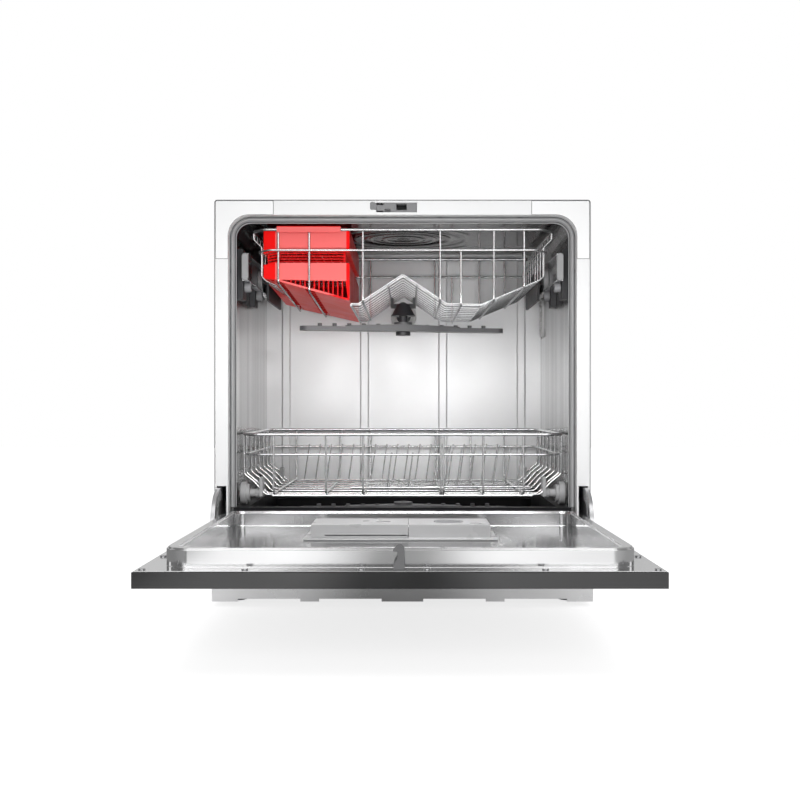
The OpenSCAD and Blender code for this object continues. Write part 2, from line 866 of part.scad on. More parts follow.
module cutlery_basket() {
    front = rack_front + 3.2;
    back = rack_back - 6;
    top = upper_rim_z + rim_wire / 2 + gap + 2;
    w = basket_wall;
    lower_top = upper_rim_z - 50;
    color(red)
        difference() {
            union() {
                along_y(front, back)
                    basket_outline(0, top);
                block([-206, rack_front - 5.2, top - 2], [-96, front + 2, top]);
                block([-206, rack_front - 5.2, top - 10], [-96, rack_front - 3.2, top]);
            }
            // the tray above and the tray below, with the row of ribs between them
            along_y(front + w, back - w)
                intersection() {
                    basket_outline(w, top + 5);
                    translate([-300, lower_top - 3])
                        square([400, 80]);
                }
            along_y(front + w, back - w)
                intersection() {
                    basket_outline(w, top);
                    translate([-300, 0])
                        square([400, lower_top - 3 - w]);
                }
            // the slot band between the upper and the lower panel
            for (i = [0 : 2])
                block([-197, front - 1, lower_top + 3 + i * 6], [-89, front + w + 1, lower_top + 6.5 + i * 6]);
            // the tall slots of the triangular opening in the front wall
            for (i = [0 : 9])
                block([-170 + i * 8, front - 1, basket_under(-170 + i * 8, 0) + 4],
                    [-165.5 + i * 8, front + w + 1, lower_top - panel_h + 1]);
            // long windows in the side walls
            for (i = [0 : 3], s = [0, 1])
                block([s == 0 ? basket_x[0] - 1 : basket_x[1] - w - 3, front + 16 + i * 78, lower_top + 4],
                    [s == 0 ? basket_x[0] + w + 1 : basket_x[1], front + 76 + i * 78, upper_rim_z - 30]);
            // windows in the upper tray's floor
            for (i = [0 : 3], x = [basket_x[0] + 12, basket_x[0] + 68])
                block([x, front + 14 + i * 78, lower_top - 10], [x + 44, front + 76 + i * 78, lower_top + 1]);
            // drain slots in the slanted floor, beside the two wires that carry it
            for (i = [0 : 3], x = [basket_x[0] + 32.5, basket_x[0] + 78.5])
                block([x, front + 14 + i * 78, upper_floor_z - 10], [x + 6, front + 76 + i * 78, lower_top - 12]);
        }
}

module rack_carriers() {
    color([0.2, 0.2, 0.21])
        both_sides()
            union() {
                block([upper_half - 7, upper_wheel_y[0] - 22, rail_mid - 36],
                    [upper_half - 3, upper_wheel_y[1] + 12, rail_mid + 12]);
                for (y = upper_wheel_y)
                    rod_x(upper_half - 3, rail_out - 2.2, y, rail_mid, axle_r);
                for (y = upper_wheel_y)
                    rod_x(upper_half - 3, rail_in - 0.6, y, rail_mid, 7);
                for (y = [upper_wheel_y[0] - 16, upper_wheel_y[1] - 2])
                    block([upper_half - 13.2, y, rail_mid - 6], [upper_half - 7, y + 12, rail_mid + 8]);
            }
}

module upper_wheels(y) {
    color("gray")
        both_sides()
            difference() {
                union() {
                    rod_x(rail_in + 0.4, rail_out - 2.2, y, rail_mid, upper_wheel_r);
                    rod_x(rail_in - 0.3, rail_out - 2.2, y, rail_mid, 8);
                }
                rod_x(rail_in - 1, rail_out, y, rail_mid, axle_r + running);
            }
}

module upper_wheels_front() upper_wheels(upper_wheel_y[0]);

module upper_wheels_rear() upper_wheels(upper_wheel_y[1]);

module upper_feed() {
    z = upper_floor_z + 9;
    color([0.2, 0.2, 0.21])
        union() {
            rod_y(arm_y, tub_back_y - 3.6, 0, z, 9);
            rod_y(tub_back_y - 14, tub_back_y - 9, 0, z, 13);
            translate([0, arm_y, z - 14])
                cylinder(h = 20, r1 = 20, r2 = 9);
            translate([0, arm_y, z - 40])
                cylinder(h = 30, r = 7);
            translate([0, arm_y, z - 46])
                cylinder(h = 6, r = 12);
            block([-21, arm_y + 40, z + 3], [21, arm_y + 52, z + 10]);
            both_sides()
                block([16, arm_y + 40, z + 6], [21, arm_y + 52, upper_floor_z + ridge_h - 15]);
        }
}

// One hollow two-armed spray arm with its nozzles, hub hole included.
module spray_arm(z, hub_r, bore_r) {
    color([0.62, 0.62, 0.63])
        translate([0, arm_y, z])
            difference() {
                union() {
                    hull()
                        for (s = [-1, 1])
                            translate([s * (arm_r - 12), 0, 0])
                                cylinder(h = 7, r = 12, $fn = 32);
                    hull() {
                        cylinder(h = 11, r = arm_w / 2, $fn = 32);
                        for (s = [-1, 1])
                            translate([s * arm_r * 0.5, 0, 1])
                                cylinder(h = 8, r = 11, $fn = 32);
                    }
                    cylinder(h = 15, r = hub_r);
                    for (i = [1 : 5], s = [-1, 1])
                        translate([s * (arm_r - 8 - i * 24), s * 4, 5])
                            cylinder(h = 7, r = 3.5);
                }
                translate([0, 0, -1])
                    cylinder(h = 30, r = bore_r);
            }
}

module upper_spray_arm() {
    rise = upper_floor_z + 9 - 39.6;
    translate([0, arm_y, 0])
        rotate([0, 0, 12])
            translate([0, -arm_y, 0])
                spray_arm(rise, 15, 7 + running);
}

// ---------------------------------------------------------------- lower rack

function lower_section() = let (f = lower_floor_z, half = lower_half, top = under_rim(lower_rim_z))
    [[-half, top], [-half + 1, f + 31], [-half + 16, f + 19], [-half + 33, f], [half - 33, f],
        [half - 16, f + 19], [half - 1, f + 31], [half, top]];

// Height of the lengthwise wires that lie on the lower rack's cross wires, and of the rods on them.
lower_run_z = lower_floor_z + wire_d + weld;
lower_rod_z = lower_run_z + wire_d + weld;
tine_axis = [rack_front + 92, lower_run_z + wire_d + gap];

module lower_rack() {
    pitch = rack_len / (lower_cross - 1);
    color("gainsboro") {
        rack_rim(lower_half, lower_rim_z, rim_wire, 26, 0);
        rack_rim(lower_half - 0.6 - wire_d - weld, lower_rim_z - 30, wire_d, 26, -wire_d - weld);
        for (i = [0 : lower_cross - 1])
            bent_wire(in_plane(lower_section(), hoop_y(i, lower_cross, wire_d)), wire_d);
        wire([46 - lower_half, rack_front, lower_floor_z], [lower_half - 46, rack_front, lower_floor_z], wire_d);
        for (x = [-lower_half + 48, -114, -59, 57, 61, 120, lower_half - 60])
            loop(x, under_rim(lower_rim_z), lower_run_z, lower_run_z);
        // fixed row of plate tines at the back, and two short tines at the front
        tines([for (x = [-170 : tine_pitch : 170]) x], rack_front + 5.25 * pitch, tine_h, 8);
        tines([-25, 8], rack_front + 1.5 * pitch, 55, 56);
    }
}

// A slanted tine that stands on a rod.
module tine(x, y, z, h) {
    wire([x, y, z], [x + h * 0.14, y, z + h], thin_wire);
}

// A row of slanted tines with the rod that carries them.
module tines(at, y, h, over) {
    wire([at[0] - over, y, lower_rod_z], [at[len(at) - 1] + over, y, lower_rod_z], wire_d);
    for (x = at)
        tine(x, y, lower_rod_z, h);
}

module tine_row() {
    color("white") {
        rod_x(38, 200, tine_axis[0], tine_axis[1], wire_d / 2);
        for (x = [46 : tine_pitch : 190])
            tine(x, tine_axis[0], tine_axis[1], tine_h);
    }
}

module wheel_clips() {
    z = lower_wheel_z;
    color("lightgray")
        both_sides()
            for (y = lower_wheel_y)
                union() {
                    block([lower_half - 29, y - 12, lower_floor_z - 3], [lower_half - 24, y + 12, lower_floor_z + 26]);
                    rod_x(lower_half - 25, lower_half - 18.5, y, z, 8);
                    rod_x(lower_half - 19, lower_half + 5, y, z, axle_r);
                }
}

module lower_wheels(y) {
    z = lower_wheel_z;
    x = lower_half - 18;
    color("whitesmoke")
        both_sides()
            difference() {
                union() {
                    rod_x(x + 14, x + 22.6, y, z, lower_wheel_r);
                    rod_x(x, x + 14.5, y, z, 6.5);
                    rod_x(x + 9.5, x + 14.5, y, z, 13);
                }
                rod_x(x + 15, x + 24, y, z, 13);
                rod_x(x - 1, x + 24, y, z, axle_r + running);
            }
}

module lower_wheels_front() lower_wheels(lower_wheel_y[0]);

module lower_wheels_rear() lower_wheels(lower_wheel_y[1]);

module lower_spray_arm() {
    spray_arm(116 + gap, 15, 6);
}

// ---------------------------------------------------------------- door, drawn shut and turned open

slab_y = [-door_gap - door_t, -door_gap];
liner_t = 1;
rim_half = half_w - rim_side;
rim_bottom = sill_z + 3.5;
rim_top = cabinet_h - rim_top_gap;
disp_z = [hinge_z + dispenser_back, hinge_z + dispenser_back + dispenser_d];
seam_x = 8.4;

module door_outer() {
    skin = 3;
    color([0.1, 0.1, 0.1])
        opened()
            difference() {
                block([-half_w, slab_y[0], door_bottom], [half_w, slab_y[1] - liner_t, cabinet_h]);
                block([-half_w + skin, slab_y[0] + skin, door_bottom + 2],
                    [half_w - skin, slab_y[1] + 1, cabinet_h - skin]);
                both_sides()
                    block([bracket_x[0] - 1, slab_y[0] + 1, door_bottom - 1],
                        [strap_x[1] + 1, slab_y[1] + 1, hinge_z + 18]);
                for (x = [-30, 30])
                    translate([x, slab_y[0] - 1, cabinet_h - 40])
                        rotate([-90, 0, 0])
                            cylinder(h = 6, r = 7.6);
                block([-110, slab_y[0] - 1, cabinet_h - 12], [110, slab_y[0] + 1.6, cabinet_h - 8]);
            }
}

// The raised rim's outline as a ring in x and z.
module rim_ring(grow_out, grow_in) {
    mid = (rim_bottom + rim_top) / 2;
    h = rim_top - rim_bottom;
    difference() {
        translate([0, mid])
            round_rect(2 * (rim_half + grow_out), h + 2 * grow_out, 27 + grow_out);
        translate([0, mid])
            round_rect(2 * (rim_half - rim_w - grow_in), h - 2 * (rim_w + grow_in), 15 - grow_in);
    }
}

module door_inner() {
    y0 = slab_y[1] - liner_t;
    top = slab_y[1] + rim_h;
    color("silver")
        opened()
            difference() {
                union() {
                    block([-half_w + 1.5, y0, door_bottom + 1.5], [half_w - 1.5, slab_y[1], cabinet_h - 1.5]);
                    along_y(y0, top - 2)
                        rim_ring(0, 0);
                    along_y(top - 3, top)
                        rim_ring(-2, -2);
                }
                both_sides()
                    block([bracket_x[0] - 1, y0 - 1, door_bottom], [strap_x[1] + 1, slab_y[1] + 1, hinge_z + 58]);
                block([-lid_w + seam_x + 8, y0 - 1, disp_z[0] + 6], [seam_x - 4, slab_y[1] + 1, disp_z[1] - 6]);
                block([seam_x + 20, y0 - 1, disp_z[0] + 14], [seam_x + 80, slab_y[1] + 1, disp_z[1] - 14]);
            }
}

module hinge_straps() {
    r_mid = 47;
    color("gray")
        opened()
            both_sides()
                along_x(strap_x[0], strap_x[1])
                    difference() {
                        union() {
                            translate([hinge_y, hinge_z])
                                circle(r = eye_r);
                            translate([hinge_y - 5, hinge_z])
                                square([9.6, 96]);
                            intersection() {
                                translate([hinge_y, hinge_z])
                                    difference() {
                                        circle(r = r_mid + 9);
                                        circle(r = r_mid - 9);
                                    }
                                translate([hinge_y, hinge_z])
                                    polygon([[0, 0], [-6, 90], [90, 90], [90, -24]]);
                            }
                        }
                        translate([hinge_y, hinge_z])
                            circle(r = pin_r + running);
                    }
}

module hinge_brackets() {
    color("gray")
        both_sides()
            along_x(bracket_x[0], bracket_x[1])
                difference() {
                    union() {
                        translate([hinge_y, hinge_z])
                            circle(r = eye_r);
                        translate([hinge_y, hinge_z - 6])
                            square([60, 12]);
                        translate([2, frame_bottom])
                            square([40, 24 - gap]);
                    }
                    translate([hinge_y, hinge_z])
                        circle(r = pin_r);
                }
}

module hinge_pins() {
    color("silver")
        both_sides()
            union() {
                rod_x(bracket_x[0], strap_x[1] + 0.7, hinge_y, hinge_z, pin_r);
                rod_x(bracket_x[0] - 0.8, bracket_x[0], hinge_y, hinge_z, pin_r + 1);
            }
}

module dispenser_body() {
    y = slab_y[1] + 0.3;
    color("lightgray")
        opened()
            difference() {
                union() {
                    block([seam_x - lid_w - 9, y, disp_z[0] - lid_travel], [seam_x, y + 2, disp_z[1] + 9]);
                    block([seam_x - 1, y, disp_z[0] - 9], [seam_x + rinse_w + 9, y + 2, disp_z[1] + 9]);
                    block([seam_x + gap, y, disp_z[0]], [seam_x + rinse_w, y + dispenser_h - 1, disp_z[1]]);
                    block([seam_x - lid_w + 9, y - 11, disp_z[0] + 7], [seam_x - 5, y + 2, disp_z[1] - 7]);
                    block([seam_x + 21, y - 10, disp_z[0] + 15], [seam_x + 79, y + 2, disp_z[1] - 15]);
                }
                block([seam_x - lid_w + 11, y - 9.5, disp_z[0] + 9], [seam_x - 7, y + 3, disp_z[1] - 9]);
                translate([seam_x + rinse_w / 2, y + dispenser_h - 6, (disp_z[0] + disp_z[1]) / 2])
                    rotate([-90, 0, 0])
                        cylinder(h = 20, r = rinse_cap_r + running);
            }
}

module dispenser_lid() {
    y = slab_y[1] + 0.3 + 2 + gap;
    top = slab_y[1] + dispenser_h - 0.7;
    color("silver")
        opened()
            difference() {
                block([seam_x - lid_w, y, disp_z[0]], [seam_x - gap, top, disp_z[1]]);
                block([seam_x - lid_w + 2, y - 1, disp_z[0] + 2], [seam_x - gap - 2, top - 2, disp_z[1] - 2]);
                block([seam_x - lid_w + 18, y + 2.4, disp_z[1] - 3], [seam_x - 1, y + 3.6, disp_z[1] + 1]);
            }
}

module rinse_cap() {
    y = slab_y[1] + 0.3 + dispenser_h - 5.7;
    color("gray")
        opened()
            translate([seam_x + rinse_w / 2, y, (disp_z[0] + disp_z[1]) / 2])
                rotate([-90, 0, 0])
                    difference() {
                        cylinder(h = 5.4, r = rinse_cap_r);
                        translate([-rinse_cap_r + 4, 2, 3])
                            cube([2 * rinse_cap_r - 8, 6, 5]);
                        translate([-rinse_cap_r + 4, -8, 3])
                            cube([2 * rinse_cap_r - 8, 6, 5]);
                    }
}

module latch_hook() {
    x0 = hook_x[0];
    x1 = hook_x[1];
    y = slab_y[1];
    color("gray")
        opened()
            translate([0, 0, hook_z - 2.5])
                linear_extrude(5)
                    polygon([[x0, y], [x1 + 0.6, y], [x1, y + 24], [x1 - 3, y + 27.5], [x1 - 6, y + 27],
                        [x0, y + 21], [x0, y + 19], [x1 - 7, y + 19], [x1 - 7, y + 12], [x0 + 1, y + 6]]);
}

module control_board() {
    color("darkgreen")
        opened()
            union() {
                block([-120, slab_y[0] + 5, cabinet_h - 92], [120, slab_y[0] + 6.6, cabinet_h - 50]);
                for (x = [-60, 0, 60])
                    block([x - 12, slab_y[0] + 6, cabinet_h - 84], [x + 12, slab_y[0] + 13, cabinet_h - 60]);
                for (x = [-110, 110])
                    block([x - 4, slab_y[0] + 3, cabinet_h - 90], [x + 4, slab_y[0] + 5.5, cabinet_h - 52]);
            }
}

module button(x) {
    color([0.25, 0.25, 0.26])
        opened()
            translate([x, slab_y[0] - 0.2, cabinet_h - 40])
                rotate([-90, 0, 0]) {
                    cylinder(h = 5, r = 7.6 - 0.06);
                    translate([0, 0, 3.6])
                        cylinder(h = 2.4, r = 9.5);
                }
}

module power_button() button(-30);

module start_button() button(30);

module door_screws() {
    y = slab_y[1];
    color("silver")
        opened()
            for (p = [[-half_w + 9, cabinet_h - 9], [half_w - 9, cabinet_h - 9], [-160, cabinet_h - 10],
                    [-40, cabinet_h - 10], [28, cabinet_h - 10], [150, cabinet_h - 10],
                    [-half_w + 9, cabinet_h - 110], [half_w - 9, cabinet_h - 110],
                    [-half_w + 9, 300], [half_w - 9, 300]])
                translate([p[0], y, p[1]])
                    rotate([-90, 0, 0])
                        union() {
                            cylinder(h = 1.6, r = 3.6);
                            translate([0, 0, -8])
                                cylinder(h = 9, r = 1.6);
                        }
}

outer_wrap();
back_panel();
base_pan();
plinth();
feet();
front_frame();
frame_corners();
tub_wrap();
tub_back();
tub_floor();
door_gasket();
latch_lock();
hinge_brackets();
hinge_pins();
door_springs();
sump();
filter_plate();
filter_cup();
salt_container();
salt_cap();
wash_pump();
drain_pump();
heater();
inlet_valve();
drain_outlet();
cord_gland();
water_box();
rear_duct();
docking_ring();
rail_guides();
guide_rollers_front();
guide_rollers_rear();
upper_rails();
rail_caps();
upper_rack();
cutlery_basket();
rack_carriers();
upper_feed();
upper_wheels_front();
upper_wheels_rear();
upper_spray_arm();
lower_rack();
wheel_clips();
lower_wheels_front();
lower_wheels_rear();
tine_row();
lower_spray_arm();
door_outer();
door_inner();
hinge_straps();
dispenser_body();
dispenser_lid();
rinse_cap();
latch_hook();
control_board();
power_button();
start_button();
door_screws();
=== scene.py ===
import json
import math
import bmesh
import bpy
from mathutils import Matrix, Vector


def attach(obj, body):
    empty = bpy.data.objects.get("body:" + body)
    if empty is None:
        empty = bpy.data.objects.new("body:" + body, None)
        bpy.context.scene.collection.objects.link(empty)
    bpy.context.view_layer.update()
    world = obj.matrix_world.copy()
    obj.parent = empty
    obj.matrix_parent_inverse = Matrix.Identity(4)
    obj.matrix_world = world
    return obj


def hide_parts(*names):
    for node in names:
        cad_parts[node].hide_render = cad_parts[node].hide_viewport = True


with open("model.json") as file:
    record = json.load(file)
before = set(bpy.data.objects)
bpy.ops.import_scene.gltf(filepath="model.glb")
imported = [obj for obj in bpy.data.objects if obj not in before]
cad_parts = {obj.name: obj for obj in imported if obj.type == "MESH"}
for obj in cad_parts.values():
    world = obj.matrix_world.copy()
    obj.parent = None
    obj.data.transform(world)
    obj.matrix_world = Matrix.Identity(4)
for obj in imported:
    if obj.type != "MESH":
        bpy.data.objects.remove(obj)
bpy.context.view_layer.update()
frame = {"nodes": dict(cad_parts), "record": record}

# ---------------------------------------------------------------------------
# Camera: level, straight in front of the open machine, a little above the
# lower rack's rim, with a 50 mm lens.
camera = bpy.data.cameras.new("camera")
camera.lens = 50
camera.sensor_width = 36
camera.shift_x = -0.0104
camera.shift_y = 0.0075
camera.clip_start = 0.02
camera_object = bpy.data.objects.new("camera", camera)
camera_object.location = (0.0085, -1.624, 0.2885)
camera_object.rotation_euler = (math.radians(90), 0, 0)
bpy.context.scene.collection.objects.link(camera_object)
bpy.context.scene.camera = camera_object

# ---------------------------------------------------------------------------
# Studio: a white floor, two soft boxes beside the camera with a dark gap between
# them, one above, and a small one that reaches into the tub. The surround is
# white to the eye and banded in grey for what the steel mirrors.


def rgba(colour):
    """A grey, or a red, green and blue, as a colour with full alpha."""
    return (colour,) * 3 + (1,) if isinstance(colour, float) else colour + (1,)


def parts_of(tree, vector):
    """The X, Y and Z of a vector."""
    split = tree.nodes.new("ShaderNodeSeparateXYZ")
    tree.links.new(vector, split.inputs[0])
    return split.outputs


def own_place(tree):
    """A point's place on the piece's own axes, in metres."""
    return tree.nodes.new("ShaderNodeTexCoord").outputs["Object"]


def camera_ray(tree):
    """1 for what the camera sees directly, 0 for what is mirrored or lit."""
    return tree.nodes.new("ShaderNodeLightPath").outputs["Is Camera Ray"]


def spread(tree, source, start, end, low=0.0, high=1.0):
    """A value of start to end, spread over low to high and held at both ends."""
    span = tree.nodes.new("ShaderNodeMapRange")
    for socket, value in (("From Min", start), ("From Max", end), ("To Min", low), ("To Max", high)):
        span.inputs[socket].default_value = value
    tree.links.new(source, span.inputs["Value"])
    return span.outputs["Result"]


def calculated(tree, operation, *values):
    """One step of arithmetic on values that are sockets or numbers."""
    step = tree.nodes.new("ShaderNodeMath")
    step.operation = operation
    for socket, value in zip(step.inputs, values):
        if isinstance(value, float):
            socket.default_value = value
        else:
            tree.links.new(value, socket)
    return step.outputs[0]


def ramp(tree, source, stops, blend="LINEAR"):
    """A value of 0 to 1 looked up on a ramp of places, each with its grey or colour."""
    band = tree.nodes.new("ShaderNodeValToRGB")
    band.color_ramp.interpolation = blend
    points = band.color_ramp.elements
    for end, (at, colour) in ((0, stops[0]), (1, stops[-1])):
        points[end].position = at
        points[end].color = rgba(colour)
    for at, colour in stops[1:-1]:
        points.new(at).color = rgba(colour)
    tree.links.new(source, band.inputs[0])
    return band.outputs[0]


def mixed(tree, share, a, b, kind="RGBA"):
    """a turning into b as the share goes from 0 to 1: colours, or sockets; the kind FLOAT is for numbers."""
    blend = tree.nodes.new("ShaderNodeMix")
    blend.data_type = kind
    first, second, result = (6, 7, 2) if kind == "RGBA" else (2, 3, 0)
    tree.links.new(share, blend.inputs[0])
    for slot, value in ((first, a), (second, b)):
        if isinstance(value, tuple):
            blend.inputs[slot].default_value = rgba(value)
        else:
            tree.links.new(value, blend.inputs[slot])
    return blend.outputs[result]


def new_finish(name):
    """A material, its nodes and its shader."""
    mat = bpy.data.materials.new(name)
    mat.use_nodes = True
    return mat, mat.node_tree, mat.node_tree.nodes["Principled BSDF"]


def softbox(name, place, target, size, watts):
    light = bpy.data.lights.new(name, "AREA")
    light.shape = "RECTANGLE"
    light.size, light.size_y = size
    light.energy = watts
    box = bpy.data.objects.new(name, light)
    box.location = place
    box.rotation_euler = (Vector(target) - Vector(place)).to_track_quat("-Z", "Y").to_euler()
    bpy.context.scene.collection.objects.link(box)


bpy.context.scene.view_settings.view_transform = "Standard"
world = bpy.data.worlds.new("studio")
bpy.context.scene.world = world
world.use_nodes = True
sky = world.node_tree
sky.nodes.clear()
banded = sky.nodes.new("ShaderNodeBackground")
from_left = spread(sky, parts_of(sky, sky.nodes.new("ShaderNodeTexCoord").outputs["Generated"])["X"], -1, 1)
grey_bands = [(0.0, 0.20), (0.2, 0.06), (0.34, 0.62), (0.42, 0.62), (0.47, 0.10), (0.53, 0.10), (0.58, 0.55),
              (0.66, 0.62), (0.82, 0.08), (1.0, 0.20)]
sky.links.new(ramp(sky, from_left, grey_bands, "B_SPLINE"), banded.inputs["Color"])
white = sky.nodes.new("ShaderNodeBackground")
white.inputs["Color"].default_value = rgba(1.0)
surround = sky.nodes.new("ShaderNodeMixShader")
for slot, source in enumerate((camera_ray(sky), banded.outputs[0], white.outputs[0])):
    sky.links.new(source, surround.inputs[slot])
sky.links.new(surround.outputs[0], sky.nodes.new("ShaderNodeOutputWorld").inputs[0])

softbox("top_light", place=(0.1, -1.3, 2.3), target=(0, -0.1, 0.3), size=(2.2, 1.2), watts=10.5)
softbox("left_light", place=(-0.85, -2.4, 0.95), target=(-0.1, 0.1, 0.3), size=(1.1, 0.9), watts=6.6)
softbox("right_light", place=(0.85, -2.4, 0.95), target=(0.1, 0.1, 0.3), size=(1.1, 0.9), watts=7.6)
softbox("tub_light", place=(0, -0.30, 0.36), target=(0, 0.39, 0.27), size=(0.46, 0.10), watts=1.3)
softbox("left_rim_light", place=(-2.0, 0.2, 0.9), target=(0, 0.2, 0.3), size=(0.6, 1.4), watts=2)
softbox("right_rim_light", place=(2.0, 0.2, 0.9), target=(0, 0.2, 0.3), size=(0.6, 1.4), watts=2)

# what the steel mirrors of the floor is brighter in two patches in front of
# the machine, with a dark gap between them, as from two light panels
FLOOR_WHITE = (0.8, 0.8, 0.805)
PATCH_EDGE = 0.6
floor_mesh = bpy.data.meshes.new("studio_floor")
floor_mesh.from_pydata([(-6, -5, 0), (6, -5, 0), (6, 6, 0), (-6, 6, 0)], [], [(0, 1, 2, 3)])
studio_floor = bpy.data.objects.new("studio_floor", floor_mesh)
bpy.context.scene.collection.objects.link(studio_floor)
floor_paint, ground, floor_shader = new_finish("studio_floor_paint")
on_floor = parts_of(ground, own_place(ground))
patches = ramp(ground, spread(ground, on_floor["X"], -PATCH_EDGE, PATCH_EDGE),
               [(0.0, 0.25), (0.10, 0.10), (0.18, 0.95), (0.36, 1.0), (0.455, 0.26), (0.54, 0.26),
                (0.625, 0.95), (0.90, 0.75), (1.0, 0.35)])
towards_viewer = spread(ground, on_floor["Y"], -0.95, -0.80, 0.52, 0.38)
mirrored_glow = calculated(ground, "MULTIPLY", patches, towards_viewer)
far = ground.nodes.new("ShaderNodeVectorMath")
far.operation = "LENGTH"
ground.links.new(own_place(ground), far.inputs[0])
seen_glow = spread(ground, far.outputs["Value"], 0.8, 2.5, 0.78, 1.0)
ground.links.new(mixed(ground, camera_ray(ground), mirrored_glow, seen_glow, "FLOAT"),
                 floor_shader.inputs["Emission Strength"])
ground.links.new(mixed(ground, camera_ray(ground), patches, FLOOR_WHITE), floor_shader.inputs["Base Color"])
floor_shader.inputs["Emission Color"].default_value = rgba(1.0)
floor_shader.inputs["Roughness"].default_value = 0.7
floor_shader.inputs["Specular IOR Level"].default_value = 0.0
floor_mesh.materials.append(floor_paint)

# ---------------------------------------------------------------------------
# Outer wrap: one sheet of zinc-coated steel bent into the two sides and the
# top, painted white, and screwed to the base pan and the front frame.


def spread_noise(tree, scale, stretch=(1, 1, 1), detail=3):
    """Noise on the piece's own coordinates, stretched along an axis where it has a grain."""
    turn = tree.nodes.new("ShaderNodeMapping")
    turn.inputs["Scale"].default_value = stretch
    noise = tree.nodes.new("ShaderNodeTexNoise")
    noise.inputs["Scale"].default_value = scale
    noise.inputs["Detail"].default_value = detail
    tree.links.new(own_place(tree), turn.inputs["Vector"])
    tree.links.new(turn.outputs["Vector"], noise.inputs["Vector"])
    return noise.outputs["Fac"]


NOISE_LOW, NOISE_HIGH = 0.3, 0.7


def between(tree, noise, low, high):
    """Noise spread over low to high."""
    return spread(tree, noise, NOISE_LOW, NOISE_HIGH, low, high)


def tint(tree, shader, noise, dark, light):
    """The shader's colour, from dark to light by the noise."""
    tree.links.new(ramp(tree, noise, [(NOISE_LOW, dark), (NOISE_HIGH, light)]), shader.inputs["Base Color"])


def relief(tree, shader, height, depth, strength):
    """Bumps of a depth in metres."""
    bump = tree.nodes.new("ShaderNodeBump")
    bump.inputs["Distance"].default_value = depth
    bump.inputs["Strength"].default_value = strength
    tree.links.new(height, bump.inputs["Height"])
    tree.links.new(bump.outputs[0], shader.inputs["Normal"])


def paint_finish(name, colour, rough):
    """Powder coat: faint orange peel and slow change of gloss."""
    mat, tree, shader = new_finish(name)
    slow = spread_noise(tree, 6)
    tint(tree, shader, slow, tuple(c * 0.985 for c in colour), colour)
    tree.links.new(between(tree, slow, rough - 0.04, rough + 0.05), shader.inputs["Roughness"])
    relief(tree, shader, spread_noise(tree, 900, detail=1), 0.00004, 0.35)
    shader.inputs["Coat Weight"].default_value = 0.15
    return mat


def smooth_by_angle(mesh, degrees=34):
    mesh.shade_smooth()
    mesh.set_sharp_from_angle(angle=math.radians(degrees))


def made(name, mesh):
    """A new object at the origin that shows the mesh."""
    piece = bpy.data.objects.new(name, mesh)
    bpy.context.scene.collection.objects.link(piece)
    return piece


def settled(piece):
    """The piece as a plain mesh, with its modifiers applied."""
    graph = bpy.context.evaluated_depsgraph_get()
    mesh = bpy.data.meshes.new_from_object(piece.evaluated_get(graph), depsgraph=graph)
    name = piece.name
    bpy.data.objects.remove(piece)
    mesh.name = name
    return made(name, mesh)


def rounded(name, mesh, width, steps=2, limit=30):
    """The mesh as a piece whose edges are rounded over."""
    smooth_by_angle(mesh)
    piece = made(name, mesh)
    round_over = piece.modifiers.new("round_over", "BEVEL")
    round_over.width = width
    round_over.segments = steps
    round_over.limit_method = "ANGLE"
    round_over.angle_limit = math.radians(limit)
    round_over.use_clamp_overlap = True
    even = piece.modifiers.new("even", "WEIGHTED_NORMAL")
    even.keep_sharp = True
    return settled(piece)


def softened(name, node, width=0.0005, steps=2, limit=30):
    """A pressed or moulded part from its solid, with its edges rounded over."""
    form = bmesh.new()
    form.from_mesh(frame["nodes"][node].data)
    bmesh.ops.remove_doubles(form, verts=form.verts, dist=2e-6)
    bmesh.ops.dissolve_limit(form, angle_limit=math.radians(0.8), verts=form.verts, edges=form.edges)
    mesh = bpy.data.meshes.new(name)
    form.to_mesh(mesh)
    form.free()
    return rounded(name, mesh, width, steps, limit)


BODY_OF = {node: body for body, nodes in frame["record"]["behaviour"]["bodies"].items() for node in nodes}


def fitted(piece, finish, node=None, body=None):
    """The finished piece takes the place of its solid, if it has one, and moves with the body."""
    piece.data.materials.clear()
    piece.data.materials.append(finish)
    if node:
        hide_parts(node)
    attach(piece, body or BODY_OF[node])
    return piece


def dressed(name, node, finish, width=0.0006, steps=2):
    """A part whose shape is that of its solid, with rounded edges and its finish."""
    return fitted(softened(name, node, width, steps), finish, node)


def shade_painted_edges(piece, depth, slant):
    """Paints the piece's front edges dark: painted shade in the gaps round them, partly the grey of the cut
    sheet.
    """
    piece.data.materials.append(EDGE_PAINTED_SHADE)
    for face in piece.data.polygons:
        if face.center.y < depth and slant[0] < face.normal.y < slant[1]:
            face.material_index = 1


WHITE_PAINT = paint_finish("white_paint", (0.83, 0.833, 0.836), 0.32)
# painted shade: a dark finish for front edges and seams, standing in for the shadow in the gaps
EDGE_PAINTED_SHADE, edge_shade_tree, edge_shade_shader = new_finish("edge_painted_shade")
tint(edge_shade_tree, edge_shade_shader, spread_noise(edge_shade_tree, 60), (0.10, 0.10, 0.105), (0.15, 0.15, 0.155))
edge_shade_shader.inputs["Metallic"].default_value = 0.4
edge_shade_shader.inputs["Roughness"].default_value = 0.45
wrap = dressed("cabinet_wrap", "outer_wrap", WHITE_PAINT, 0.0002)
# the sheet's front edge is painted as a thin dark line round the white frame: painted shade in the gap, partly
# the grey of the cut sheet
shade_painted_edges(wrap, 0.0009, (-2, -0.2))

